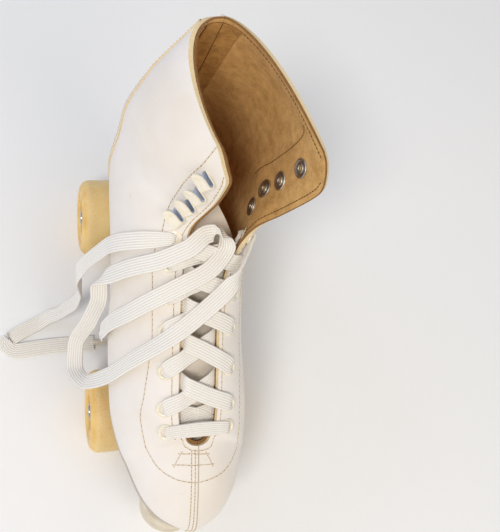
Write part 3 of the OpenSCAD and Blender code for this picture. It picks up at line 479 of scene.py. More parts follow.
def add_shell(name: str, grids: tuple[Points, Points], finishes: list[Material], rounding: tuple[float, int],
              slot: Slot, *nodes: str) -> None:
    """Build one thin piece of the boot.

    Args:
        name: The piece's name.
        grids: Its outer and its inner face.
        finishes: Materials of the outer face, the inner face and the rim.
        rounding: Width and facets of its rounded edges.
        slot: The record's material slot.
        nodes: The nodes that it replaces.
    """
    points, faces, kinds = shell(*grids)
    piece = make_piece(name, points, faces, finishes, kinds)
    soften(piece, *rounding)
    settle(piece, ROOT, slot, *nodes)


# Materials

def add_node(tree: NodeTree, kind: str, inputs: dict | None = None, **settings: str) -> bpy.types.Node:
    """Add one shader node.

    Args:
        tree: The material's node tree.
        kind: The node's type, without its prefix.
        inputs: By socket name or number, a value, a socket, or a node whose first output is meant.
        settings: The node's own settings.

    Returns:
        The node.
    """
    node = tree.nodes.new(f"ShaderNode{kind}")
    for key, value in settings.items():
        setattr(node, key, value)
    for key, value in (inputs or {}).items():
        source = value.outputs[0] if isinstance(value, bpy.types.Node) else value
        if isinstance(source, bpy.types.NodeSocket):
            tree.links.new(source, node.inputs[key])
        else:
            node.inputs[key].default_value = source
    return node


def start_material(name: str) -> tuple[Material, NodeTree, bpy.types.NodeSocket]:
    """Start an empty material.

    Args:
        name: The material's name.

    Returns:
        The material, its tree and the object coordinates' socket.
    """
    material = bpy.data.materials.new(name)
    material.use_nodes = True
    tree = material.node_tree
    tree.nodes.clear()
    return material, tree, add_node(tree, "TexCoord").outputs["Object"]


@dataclass(frozen=True)
class Pattern:
    """A texture of noise, or of cells, with features of a real size."""

    size_mm: float
    detail: float = 2.0
    rough: float = 0.5
    distortion: float = 0.0
    cells: bool = False

    def sockets(self) -> dict[str, float]:
        """Values of the texture node's sockets."""
        noise = {"Detail": self.detail, "Roughness": self.rough, "Distortion": self.distortion}
        return {"Scale": scale_for(self.size_mm)} | ({} if self.cells else noise)


@dataclass(frozen=True)
class Recipe:
    """What a finish is made of: tints over a base colour, uneven gloss, relief and fixed sockets."""

    base: str
    # Colour, its pattern, and the pattern's values where the tint begins and is full
    tints: tuple[tuple[str, Pattern, float, float], ...]
    # Pattern, strength, and depth in millimetres
    reliefs: tuple[tuple[Pattern, float, float], ...] = ()
    # Pattern, its values at the glossiest and the dullest places, and the roughness lost and gained there
    gloss: tuple[Pattern, float, float, float, float] | None = None
    fixed: dict = field(default_factory=dict)


@dataclass(frozen=True)
class Finish:
    """A finish that is built from its recipe."""

    name: str

    def recipe(self) -> Recipe:
        """What the finish is made of."""
        raise NotImplementedError

    def make(self) -> Material:
        """Build the material.

        Returns:
            The material.
        """
        material, tree, place = start_material(self.name)
        recipe = self.recipe()
        used = [tint[1] for tint in recipe.tints] + [relief[0] for relief in recipe.reliefs]
        used += [recipe.gloss[0]] if recipe.gloss else []
        textures = {pattern: add_node(tree, "TexVoronoi" if pattern.cells else "TexNoise", {
            "Vector": place, **pattern.sockets()}) for pattern in dict.fromkeys(used)}
        sockets = dict(recipe.fixed)
        colour = linear(recipe.base)
        for code, pattern, low, high in recipe.tints:
            share = add_node(tree, "MapRange", {
                "Value": textures[pattern], "From Min": low, "From Max": high})
            colour = add_node(tree, "MixRGB", {"Fac": share, "Color1": colour, "Color2": linear(code)})
        for pattern, strength, depth in recipe.reliefs:
            below = {"Normal": sockets["Normal"]} if "Normal" in sockets else {}
            sockets["Normal"] = add_node(tree, "Bump", {
                "Height": textures[pattern], "Strength": strength, "Distance": depth * MM, **below})
        if recipe.gloss:
            pattern, low, high, less, more = recipe.gloss
            sockets["Roughness"] = add_node(tree, "MapRange", {
                "Value": textures[pattern], "From Min": low, "From Max": high,
                "To Min": recipe.fixed["Roughness"] - less, "To Max": recipe.fixed["Roughness"] + more})
        shader = add_node(tree, "BsdfPrincipled", {"Base Color": colour, **sockets})
        add_node(tree, "OutputMaterial", {"Surface": shader})
        return material


@dataclass(frozen=True)
class CoatedLeather(Finish):
    """Full-grain leather, pigment coated and plated: a soft sheen over a faint pebble and hand creases."""

    name: str = "white_leather_pigment_coated"
    colour: str = "#F5EFE8"
    warm: str = "#ECE3D7"
    scuff: str = "#D3C8B8"
    roughness: float = 0.4
    ior: float = 1.48

    def recipe(self) -> Recipe:
        """Mix age stains, scuffs, broad creases and pebble.

        Returns:
            The recipe.
        """
        stain = Pattern(70.0, 3.0, 0.6)
        rubs = Pattern(9.0, 6.0, 0.75)
        crease = Pattern(26.0, 2.0, distortion=0.6)
        # Real pebble is about 0.5 mm, drawn at 1.6 mm so that it shows in the frame
        pebble = Pattern(1.6, cells=True)
        return Recipe(
            self.colour, ((self.warm, stain, 0.4, 0.72), (self.scuff, rubs, 0.63, 0.9)),
            ((crease, 0.25, 2.2), (pebble, 0.1, 0.35)), (rubs, 0.3, 0.75, 0.05, 0.14),
            {"Roughness": self.roughness, "IOR": self.ior, "Subsurface Weight": 0.06,
             "Subsurface Radius": (0.003, 0.002, 0.0012)})


@dataclass(frozen=True)
class Suede(Finish):
    """Split leather, napped by abrasion: matt, mottled by its nap, with a soft rim of light."""

    name: str = "brown_suede_napped"
    colour: str = "#E6B874"
    dark: str = "#C29252"
    worn: str = "#EECB8E"
    halo: str = "#E8C694"

    def recipe(self) -> Recipe:
        """Mix nap that lies both ways, and raised fibres.

        Returns:
            The recipe.
        """
        nap = Pattern(7.0, 5.0, 0.65)
        # Real fibres are about 0.1 mm, drawn at 0.9 mm so that they show in the frame
        fibre = Pattern(0.9, 3.0, 0.7)
        return Recipe(
            self.dark, ((self.colour, nap, 0.35, 0.65), (self.worn, fibre, 0.5, 0.85)), ((fibre, 0.5, 0.5),),
            fixed={"Roughness": 0.95, "Specular IOR Level": 0.2, "Sheen Weight": 0.35, "Sheen Roughness": 0.5,
                   "Sheen Tint": linear(self.halo)})


@dataclass(frozen=True)
class FibreEdge(Finish):
    """Leather cut edge, left raw or stained: short fibres across the cut make a dull, streaked line."""

    colour: str
    streak: str
    roughness: float = 0.85
    # Real fibre bundles are about 0.2 mm, drawn at 0.8 mm or more so that they show in the frame
    fibre_mm: float = 0.8

    def recipe(self) -> Recipe:
        """Streaks of fibre."""
        fibre = Pattern(self.fibre_mm, 4.0, 0.7)
        return Recipe(self.streak, ((self.colour, fibre, 0.35, 0.7),), ((fibre, 0.5, 0.3),),
                      fixed={"Roughness": self.roughness})


@dataclass(frozen=True)
class WaxedThread(Finish):
    """Linen thread, waxed and pulled tight: small rounded dashes with a dull gloss and darker twists."""

    colour: str
    twist: str

    def recipe(self) -> Recipe:
        """Twisted plies."""
        return Recipe(self.twist, ((self.colour, Pattern(0.8), 0.35, 0.65),), fixed={"Roughness": 0.6})


@dataclass(frozen=True)
class StoveEnamel(Finish):
    """Steel dipped in stove enamel: a glossy cream skin with a slight orange peel and thin warm edges."""

    name: str = "cream_enamel_on_steel"
    colour: str = "#F7EED9"
    thin: str = "#ECE0C2"

    def recipe(self) -> Recipe:
        """Thin places and orange peel."""
        flow = Pattern(3.0, 3.0)
        return Recipe(self.colour, ((self.thin, flow, 0.45, 0.8),), ((flow, 0.12, 0.3),),
                      fixed={"Roughness": 0.22, "IOR": 1.52, "Coat Weight": 0.3})


@dataclass(frozen=True)
class Metal(Finish):
    """A bare or plated metal: clear reflections broken by the marks of casting, rolling or tumbling."""

    colour: str
    shade: str
    roughness: float
    # Width and depth of the marks that the making leaves
    mark_mm: float
    depth_mm: float

    def recipe(self) -> Recipe:
        """Patches of shade and marks of the making."""
        patch, mark = Pattern(14.0), Pattern(self.mark_mm, 5.0, 0.65)
        return Recipe(self.shade, ((self.colour, patch, 0.35, 0.7),), ((mark, 0.4, self.depth_mm),),
                      (mark, 0.3, 0.7, 0.06, 0.1), {"Roughness": self.roughness, "Metallic": 1.0})


@dataclass(frozen=True)
class MouldedRubber(Finish):
    """Rubber or plastic from a mould: an even, slightly waxy face with fine grit and pale scuffs."""

    colour: str
    bloom: str
    roughness: float
    # Real mould grit is finer, drawn at 1 mm or more so that it shows in the frame
    grit_mm: float = 1.0

    def recipe(self) -> Recipe:
        """Bloom and fine grit."""
        bloom, grit = Pattern(12.0, 5.0, 0.65), Pattern(self.grit_mm, 3.0)
        return Recipe(self.colour, ((self.bloom, bloom, 0.4, 0.75),), ((grit, 0.25, 0.25),),
                      (bloom, 0.3, 0.7, 0.06, 0.08), {"Roughness": self.roughness, "IOR": 1.52})


@dataclass(frozen=True)
class WovenCotton:
    """Cotton lace, flat tubular braid: lengthwise ribs of small slanted plaits, matt, with painted shade in
    the hollows.
    """

    name: str = "cotton_lace_braided"
    colour: str = "#F9F5ED"
    # Grey of the hollows between ribs and plaits: painted shade
    hollow: str = "#E0D8CB"
    # Seven ribs on 11 mm
    rib_mm: float = 11 / 7
    # Real plaits are about 0.8 mm long, drawn at 1.7 mm so that they show in the frame
    plait_mm: float = 1.7
    plait_share: float = 0.12
    lean: float = 0.8
    rib_depth_mm: float = 0.22
    fuzz_mm: float = 0.7
    fuzz_depth_mm: float = 0.2

    def make(self) -> Material:
        """Build the material. Its pattern reads millimetres along and across the lace from the mesh.

        Returns:
            The material.
        """
        material, tree, place = start_material(self.name)
        weave = add_node(tree, "Attribute", attribute_name="weave")
        parts = add_node(tree, "SeparateXYZ", {"Vector": weave.outputs["Vector"]})
        x, y = parts.outputs["X"], parts.outputs["Y"]
        across = add_node(tree, "Math", {0: y, 1: 2 * math.pi / self.rib_mm}, operation="MULTIPLY")
        rib = add_node(tree, "Math", {0: across}, operation="COSINE")
        slant = add_node(tree, "Math", {0: y, 1: self.rib_mm / 2}, operation="PINGPONG")
        along = add_node(tree, "Math", {0: slant, 1: self.lean, 2: x}, operation="MULTIPLY_ADD")
        turn = add_node(tree, "Math", {0: along, 1: 2 * math.pi / self.plait_mm}, operation="MULTIPLY")
        plait = add_node(tree, "Math", {0: turn}, operation="SINE")
        knit = add_node(tree, "Math", {0: plait, 1: self.plait_share, 2: rib}, operation="MULTIPLY_ADD")
        # The hollows between ribs and plaits get painted shade, the rib tops the full colour
        raised = add_node(tree, "MapRange", {"Value": knit, "From Min": -1.2, "From Max": 0.0})
        colour = add_node(tree, "MixRGB", {
            "Fac": raised, "Color1": linear(self.hollow), "Color2": linear(self.colour)})
        woven = add_node(tree, "Bump", {
            "Height": knit, "Strength": 0.5, "Distance": self.rib_depth_mm * MM})
        fuzz = add_node(tree, "TexNoise", {
            "Vector": place, "Scale": scale_for(self.fuzz_mm), "Detail": 3.0})
        soft = add_node(tree, "Bump", {
            "Height": fuzz, "Strength": 0.3, "Distance": self.fuzz_depth_mm * MM, "Normal": woven})
        shader = add_node(tree, "BsdfPrincipled", {
            "Base Color": colour, "Normal": soft, "Roughness": 0.9, "Specular IOR Level": 0.25,
            "Sheen Weight": 0.25, "Sheen Roughness": 0.6})
        add_node(tree, "OutputMaterial", {"Surface": shader})
        return material


@dataclass(frozen=True)
class CastUrethane:
    """Polyurethane, open cast: amber and cloudy, light glows through its edges, with a dusty rolled tread."""

    name: str = "amber_urethane_cast"
    colour: str = "#F6D284"
    deep: str = "#E4B45A"
    dust: str = "#EFD8A6"
    roughness: float = 0.34
    cloud_mm: float = 18.0
    # Real dust is far finer, drawn at 1.2 mm so that it shows in the frame
    grit_mm: float = 1.2
    grit_depth_mm: float = 0.2

    def make(self) -> Material:
        """Build the material. The mesh's tread attribute says where the wheel rolls.

        Returns:
            The material.
        """
        material, tree, place = start_material(self.name)
        tread = add_node(tree, "Attribute", attribute_name="tread").outputs["Fac"]
        cloud = add_node(tree, "TexNoise", {
            "Vector": place, "Scale": scale_for(self.cloud_mm), "Detail": 3.0})
        clouded = add_node(tree, "MapRange", {"Value": cloud, "From Min": 0.35, "From Max": 0.7})
        body = add_node(tree, "MixRGB", {
            "Fac": clouded, "Color1": linear(self.colour), "Color2": linear(self.deep)})
        grit = add_node(tree, "TexNoise", {"Vector": place, "Scale": scale_for(self.grit_mm), "Detail": 4.0})
        worn = add_node(tree, "Math", {0: tread, 1: grit}, operation="MULTIPLY")
        dusty = add_node(tree, "MapRange", {"Value": worn, "From Min": 0.2, "From Max": 0.8})
        colour = add_node(tree, "MixRGB", {"Fac": dusty, "Color1": body, "Color2": linear(self.dust)})
        dull = add_node(tree, "MapRange", {
            "Value": tread, "To Min": self.roughness, "To Max": self.roughness + 0.25})
        bump = add_node(tree, "Bump", {
            "Height": worn, "Strength": 0.3, "Distance": self.grit_depth_mm * MM})
        shader = add_node(tree, "BsdfPrincipled", {
            "Base Color": colour, "Normal": bump, "Roughness": dull, "IOR": 1.5,
            "Subsurface Weight": 0.45, "Subsurface Radius": (0.012, 0.007, 0.0025)})
        add_node(tree, "OutputMaterial", {"Surface": shader})
        return material


def made(finish: Finish | WovenCotton | CastUrethane) -> Material:
    """Field of a palette that builds its finish when the palette is made."""
    return field(default_factory=finish.make)


@dataclass
class Palette:
    """Every finish of the skate, built once."""

    leather: Material = made(CoatedLeather())
    tongue_leather: Material = made(CoatedLeather(
        "tongue_leather_soft", "#E6DCCF", "#D8CAB6", "#C4B6A0", 0.55))
    suede: Material = made(Suede())
    stay_suede: Material = made(Suede("back_stay_suede_napped", "#C2924E", "#946634", "#D8AE68"))
    raw_edge: Material = made(FibreEdge("leather_edge_raw", "#F3E4BF", "#E2C692"))
    suede_edge: Material = made(FibreEdge("suede_edge_raw", "#A67A46", "#744E28"))
    seam_edge: Material = made(FibreEdge("lapped_seam_edge", "#D2C8B4", "#B8AC94"))
    sole_edge: Material = made(FibreEdge("sole_leather_edge_painted", "#D2C8BA", "#B0A494", 0.55))
    sole_face: Material = made(FibreEdge("sole_leather_rolled", "#B58E63", "#8F6C46", 0.6, 1.6))
    heel: Material = made(CoatedLeather("heel_lifts_painted", "#F0E9E0", "#DFD2BF", "#B8AB9A", 0.5))
    lace: Material = made(WovenCotton())
    lace_tip: Material = made(MouldedRubber("lace_tip_acetate", "#EFE8DA", "#DCD0BA", 0.25))
    tan_thread: Material = made(WaxedThread("tan_thread_waxed", "#EADCC0", "#D2BD96"))
    # Needle holes: the dark fibre colour is painted shadow inside the holes
    needle_hole_shadow: Material = made(FibreEdge("needle_hole_dark_fibre", "#A8824E", "#86643A"))
    brown_thread: Material = made(WaxedThread("brown_thread_waxed", "#8A5C2A", "#5A3A18"))
    enamel: Material = made(StoveEnamel())
    hook_steel: Material = made(Metal("hook_steel_rolled", "#D3DAE6", "#B4BECF", 0.3, 1.0, 0.05))
    nickel: Material = made(Metal("antique_nickel_plate", "#DAD6CA", "#B4B0A4", 0.42, 1.4, 0.1))
    casting: Material = made(Metal("aluminium_sand_cast", "#C6C8CA", "#9EA1A4", 0.42, 1.1, 0.25))
    steel: Material = made(Metal("zinc_plated_steel", "#C4C6C8", "#989B9E", 0.26, 1.8, 0.05))
    cushion: Material = made(MouldedRubber("cushion_rubber_moulded", "#4C4845", "#6A645E", 0.6))
    pivot: Material = made(MouldedRubber("pivot_cup_acetal", "#26282B", "#3B3E42", 0.38))
    seal: Material = made(MouldedRubber("bearing_seal_nitrile", "#2A2C30", "#45484D", 0.5))
    urethane: Material = made(CastUrethane())
    stop: Material = made(MouldedRubber("toe_stop_rubber_moulded", "#E6DCC8", "#D2C5AA", 0.62, 1.4))
    floor: Material = made(MouldedRubber("studio_floor_painted", "#FBFBFA", "#FAFAF9", 0.8))


# The boot's shape

@dataclass
class Last:
    """The shape that the boot is drawn on, with its lacing places."""

    sole_top: float = 78.4
    heel_lift: float = 28
    arch_from: float = -30
    arch_to: float = 72
    half_gap: float = 0.1
    seam_row: int = 3
    heel_row: int = 10
    top_row: int = 13
    leather_t: float = 2.0
    lining_t: float = 1.4
    layer_gap: float = 0.2
    eyelet_edge: float = 9
    hook_edge: dict[Side, float] = per_side(13.0, 20.0)
    eyelet_rows: Values = tuple(4.3 + i * (8 - 4.3) / 6 for i in range(7))
    hook_rows: dict[Side, Values] = per_side((9.0, 10.1, 11, 11.8), (8.5, 9.45, 10.4, 11.45))
    # The rounded hollow at the throat's lower end, in plan
    hollow_middle: Pair = (1.7, -80.5)
    hollow_r: Pair = (7.6, 5.8)
    hollow_row: float = 2.78
    # The open medial flap springs out at the collar: outward and along, at the four corners of a row
    spring_out: Values = (0, 8, 6.5, 6.5)
    spring_along: Values = (0, 0, -2, -5)
    spring_from: float = 9.0
    spring_full: float = 12.5
    # Small steps of a row number and of a share of the way, for directions
    row_bit: float = 0.05
    way_bit: float = 0.02

    @property
    def wall_t(self) -> float:
        """Thickness of leather and lining together."""
        return self.leather_t + self.layer_gap + self.lining_t

    def lift(self, along: Points) -> Points:
        """Rise of the feather line over the arch."""
        return self.heel_lift * smooth_step((along - self.arch_from) / (self.arch_to - self.arch_from))

    def on_boot(self, p: Points) -> Points:
        """Stand last places on the outsole."""
        return np.stack((p[..., 0], p[..., 1], self.sole_top + self.lift(p[..., 1]) + p[..., 2]), axis=-1)

    def row(self, table: Points, s: Points) -> Points:
        """Give the four corners of the cross curves at fractional rows.

        Args:
            table: The rows.
            s: The row numbers.

        Returns:
            The corners, as number, corner, place.
        """
        last = len(table) - 1
        i = np.minimum(np.floor(s).astype(int), last - 1)
        b, c = table[i], table[i + 1]
        mirrored = np.stack((2 * b[..., 0] - c[..., 0], c[..., 1], c[..., 2]), axis=-1)
        a = np.where((i > 0)[:, None, None], table[np.maximum(i - 1, 0)], mirrored)
        d = np.where((i + 2 <= last)[:, None, None], table[np.minimum(i + 2, last)], 2 * c - b)
        return between(a, b, c, d, (s - i)[:, None, None])

    def side_row(self, side: Side, s: Points) -> Points:
        """Give the corners of one side's cross curves on the boot.

        Args:
            side: The side of the boot.
            s: The row numbers.

        Returns:
            The corners, as number, corner, place.
        """
        p = self.row(LATERAL_ROWS if side is Side.LATERAL else MEDIAL_ROWS, s)
        spring = smooth_step((s - self.spring_from) / (self.spring_full - self.spring_from))[:, None]
        spring = spring * (side is Side.MEDIAL)
        out = side.value * (p[..., 0] + self.half_gap + spring * np.array(self.spring_out))
        along = p[..., 1] + spring * np.array(self.spring_along)
        return self.on_boot(np.stack((out, along, p[..., 2]), axis=-1))

    @staticmethod
    def curve(p: Points, t: Points) -> Points:
        """Follow cross curves.

        Args:
            p: The four corners of each curve.
            t: The share of the way along each.

        Returns:
            The places.
        """
        t = t[:, None]
        return (p[:, 0] * (1 - t) ** 3 + p[:, 1] * 3 * t * (1 - t) ** 2
                + p[:, 2] * 3 * t * t * (1 - t) + p[:, 3] * t ** 3)

    def skin(self, side: Side, s: Points, t: Points) -> Points:
        """Give places on the boot's outer face.

        Args:
            side: The side of the boot.
            s: Row numbers, from the toe to the collar.
            t: Shares of the way from the lower edge to the throat.

        Returns:
            The places, in millimetres.
        """
        s, t = np.broadcast_arrays(np.asarray(s, float), np.asarray(t, float))
        rows = self.side_row(side, np.clip(s.ravel(), 0, self.top_row))
        return self.curve(rows, np.clip(t.ravel(), 0, 1)).reshape(*s.shape, 3)

    def along(self, side: Side, s: Points, t: Points) -> Points:
        """Direction of growing row numbers."""
        s, t = np.asarray(s, float), np.asarray(t, float)
        return unit(self.skin(side, s + self.row_bit, t) - self.skin(side, s - self.row_bit, t))

    def across(self, side: Side, s: Points, t: Points) -> Points:
        """Direction from the lower edge to the throat."""
        s, t = np.asarray(s, float), np.asarray(t, float)
        return unit(self.skin(side, s, t + self.way_bit) - self.skin(side, s, t - self.way_bit))

    def normal(self, side: Side, s: Points, t: Points) -> Points:
        """Direction out of the boot's outer face."""
        return side.value * unit(np.cross(self.along(side, s, t), self.across(side, s, t)))

    def layer_normal(self, side: Side, s: Points, t: Points) -> Points:
        """Give the outward direction that stays in the seam's plane on the toe seam and the back seam.

        Args:
            side: The side of the boot.
            s: Row numbers.
            t: Shares of the way.

        Returns:
            The directions.
        """
        s, t = np.broadcast_arrays(np.asarray(s, float), np.asarray(t, float))
        along, across = self.along(side, s, t), self.across(side, s, t)

        def turned(d: Points) -> Points:
            """Turn a direction a quarter turn in the middle plane."""
            return unit(np.stack((np.zeros_like(d[..., 0]), -d[..., 2], d[..., 1]), axis=-1))

        n = self.normal(side, s, t)
        n = np.where(((t == 0) & (s >= self.heel_row))[..., None], -turned(along), n)
        n = np.where(((t == 1) & (s <= self.seam_row))[..., None], turned(along), n)
        return np.where((s == 0)[..., None], turned(across), n)

    def above(self, side: Side, s: Points, t: Points, height: float) -> Points:
        """Places at a height over the outer face."""
        return self.skin(side, s, t) + height * self.normal(side, s, t)

    def edge_t(self, side: Side, s: Points, distance: float) -> Points:
        """Share of the way at a distance from the throat or flap edge, at each row number."""
        row = self.side_row(side, np.atleast_1d(np.asarray(s, float)))
        return (1 - distance / (3 * np.linalg.norm(row[:, 3] - row[:, 2], axis=1))).reshape(np.shape(s))

    def throat_t(self, side: Side, s: Points, margin: float) -> Points:
        """Share of the way that is left outside the hollow at the throat's lower end.

        Args:
            side: The side of the boot.
            s: Row numbers.
            margin: How far the hollow is widened.

        Returns:
            The share at each row, 1 away from the hollow.
        """
        ways = np.linspace(0.7, 1, 240)
        plan = self.skin(side, s[:, None], ways[None])[..., :2]
        reach = (plan - np.array(self.hollow_middle)) / (np.array(self.hollow_r) + margin)
        inside = np.sum(reach ** 2, axis=2) < 1
        return np.where(inside.any(axis=1), ways[np.argmax(inside, axis=1)], 1)

    def drawn(self, side: Side, s: Points, t: Points) -> Line:
        """Places of a line on the outer face, and the outward directions there."""
        return self.skin(side, s, t), self.normal(side, s, t)

    def beside_seam(self, distance: float) -> Line:
        """Draw a line beside the toe seam on the lateral side, from the throat down to the sole.

        Args:
            distance: The distance from the seam's plane.

        Returns:
            Its places and the outward directions there.
        """
        side, steps = Side.LATERAL, 40
        mark = self.skin(side, 0, 1)[0] - distance
        ways, rows = np.linspace(0.5, 1, 200), np.linspace(0, 2, 200)
        upper = [(s, np.interp(mark, self.skin(side, s, ways)[:, 0], ways))
                 for s in np.linspace(2.6, 1, steps)]
        lower = [(np.interp(-mark, -self.skin(side, rows, t)[:, 0], rows), t)
                 for t in np.linspace(upper[-1][1], 0.08, steps)[1:]]
        return self.drawn(side, *np.array(upper + lower).T)

    def frame_at(self, side: Side, s: float, t: float) -> Points:
        """Give a local frame on the outer face: +Z out of it, +Y away from the throat.

        Args:
            side: The side of the boot.
            s: The row number.
            t: The share of the way.

        Returns:
            The frame's matrix.
        """
        n = self.normal(side, s, t)
        along = -side.value * self.along(side, s, t)
        x = unit(along - n * (along @ n))
        return frame_of(x, np.cross(n, x), n, self.skin(side, s, t))

    def eyelet_t(self, side: Side, s: float) -> float:
        """Share of the way at the eyelets."""
        return float(self.edge_t(side, s, self.eyelet_edge))

    def eyelet_frames(self, side: Side) -> list[Points]:
        """Local frames of one side's eyelets."""
        return [self.frame_at(side, s, self.eyelet_t(side, s)) for s in self.eyelet_rows]

    def hook_frames(self, side: Side) -> list[Points]:
        """Local frames of one side's hooks."""
        return [self.frame_at(side, s, float(self.edge_t(side, s, self.hook_edge[side])))
                for s in self.hook_rows[side]]

    def line(self, side: Side, knots: Knots | Points) -> Line:
        """Smooth line on the outer face, through knots of row number and share of the way."""
        steps = 24
        return self.drawn(side, *smooth_rows(np.array(knots, float), steps).T)

    def edge_line(self, side: Side, first: float, last: float, distance: float) -> Line:
        """Line at a distance from the throat and flap edge, between two row numbers."""
        s = np.linspace(first, last, 240)
        return self.drawn(side, s, self.edge_t(side, s, distance))

    def collar_line(self, side: Side, first: float, last: float, distance: float) -> Line:
        """Draw a line below the collar's top edge.

        Args:
            side: The side of the boot.
            first: The first share of the way.
            last: The last share of the way.
            distance: The distance from the edge.

        Returns:
            Its places and the outward directions there.
        """
        t = np.linspace(first, last, 160)
        top = np.full_like(t, self.top_row)
        bit = 0.1
        per_row = np.linalg.norm(self.skin(side, top, t) - self.skin(side, top - bit, t), axis=1) / bit
        return self.drawn(side, top - distance / per_row, t)


LAST = Last()


@dataclass
class Upper:
    """Leather quarters, suede linings, back stays, counters, seams and their stitching."""

    palette: Palette
    row_steps: int = 12
    edge_round: float = 0.7
    counter_t: float = 0.9
    counter_edge: Knots = (
        (7.7, 0.0), (8.0, 0.17), (8.6, 0.32), (9.4, 0.43), (10.3, 0.47), (11.2, 0.43), (11.9, 0.35),
        (12.2, 0.28), (12.5, 0.23), (12.9, 0.18))
    facing_lines: dict[Side, Knots] = per_side(
        (
            (1.57, 0.99), (1.61, 0.97), (1.77, 0.905), (1.99, 0.816), (2.23, 0.725), (2.44, 0.65),
            (2.69, 0.595), (3.11, 0.57), (4.12, 0.606), (4.76, 0.629), (5.2, 0.69), (5.7, 0.755),
            (6.1, 0.79), (6.73, 0.8), (7.43, 0.81), (8.02, 0.861), (9.14, 0.871), (10.43, 0.871),
            (11.29, 0.874), (11.88, 0.877), (12.22, 0.882), (12.5, 0.886), (12.8, 0.891)),
        (
            (1.57, 0.99), (1.63, 0.969), (1.78, 0.899), (2.02, 0.798), (2.3, 0.673), (2.59, 0.575),
            (3.06, 0.516), (4.05, 0.585), (4.31, 0.59), (4.95, 0.635), (5.75, 0.65), (6.7, 0.69),
            (7.43, 0.73), (8.15, 0.78), (8.9, 0.8), (9.73, 0.83), (10.55, 0.855), (11.4, 0.87),
            (11.95, 0.88), (12.4, 0.885), (12.8, 0.89)))
    lining_seam: Knots = (
        (12.5, 0.765), (12.0, 0.763), (11.4, 0.757), (11.0, 0.748), (10.4, 0.722), (9.8, 0.685),
        (9.3, 0.64))
    # Around the hollow below the lowest lace bar, and the four-sided tack under it
    hollow_lines: dict[Side, Knots] = per_side(
        (
            (2.6, 0.99), (2.62, 0.971), (2.72, 0.931), (2.83, 0.903), (3.06, 0.883), (3.45, 0.915),
            (3.89, 0.966)),
        (
            (2.6, 0.99), (2.62, 0.971), (2.7, 0.916), (2.89, 0.875), (3.28, 0.889), (3.6, 0.915),
            (3.89, 0.95)))
    tack_edges: dict[Side, tuple[Knots, ...]] = per_side(
        (
            ((2.5, 0.99), (2.56, 0.954), (2.61, 0.904), (2.67, 0.854)), ((2.67, 0.854), (2.45, 0.788)),
            ((2.45, 0.788), (2.37, 0.86), (2.27, 0.931), (2.18, 0.99))),
        (
            ((2.5, 0.99), (2.54, 0.924)), ((2.54, 0.924), (2.31, 0.864)),
            ((2.31, 0.864), (2.25, 0.929), (2.19, 0.99))))
    seam_rows: Pair = (1.9, 4.2)
    toe_seam_r: float = 0.35
    back_seam_r: float = 1.0
    # The outer face is pared back, so the raw edge shows: at the throat, the flaps and the collar
    skive: Triple = (0.8, 1.5, 0.6)
    # Rows where the throat's and the flaps' edges begin, the rows of the change, and the top row's height
    throat_from: float = 3.2
    flap_from: float = 7.8
    blend_rows: float = 0.8
    top_row_mm: float = 14.0
    hollow_skive: float = 0.4
    corner_r: float = 10.0
    edge_row: float = 3.3
    edge_rows: Pair = (4.0, 12.2)
    collar_row: float = 3.6
    collar_ways: Pair = (0.03, 0.93)
    counter_inset: float = 0.022
    # The lining reaches further than the leather: into the hollow, and past the lateral flap and collar
    lining_reach: float = 1.7
    flap_reach: dict[Side, float] = per_side(1.5, 0.0)
    collar_reach: dict[Side, float] = per_side(0.4, 0.0)
    stay_half_w: float = 13.0
    stay_t: float = 1.0
    # Rows by which the stay and the back seam end short of the heel's row and of the top row
    stay_short: Pair = (0.3, 0.06)
    seam_short: float = 0.05
    # How deep a layer sinks into the one that it is sewn to, and how far threads clear it
    bite: float = 0.1
    thread_gap: float = 0.02
    wide_pitch: float = 3.4
    seam_pitch: float = 2.5
    stitch_share: float = 0.64
    stitch_r: float = 0.34
    hole_r: float = 0.55

    def rows(self) -> Points:
        """Give the row numbers of a layer's mesh, closer together round the hollow.

        Returns:
            The row numbers.
        """
        fine_from, fine_to, fine_steps = 2.6, 3.6, 60
        low = np.linspace(0, fine_from, int(fine_from * self.row_steps))[:-1]
        high = np.linspace(fine_to, LAST.top_row, int((LAST.top_row - fine_to) * self.row_steps))[1:]
        return np.concatenate((low, np.linspace(fine_from, fine_to, fine_steps + 1), high))

    def face(self, side: Side, depth: float, rows: Points, reach: Points, steps: int = 56) -> Points:
        """Make one face of a leather layer of half the boot.

        Args:
            side: The side of the boot.
            depth: Its depth below the boot's outer face.
            rows: The row numbers.
            reach: The largest share of the way at each row.
            steps: The quads across.

        Returns:
            The grid of places.
        """
        t = reach[:, None] * np.linspace(0, 1, steps + 1)[None]
        s = np.repeat(rows[:, None], steps + 1, axis=1)
        return LAST.skin(side, s, t) - depth * LAST.layer_normal(side, s, t)

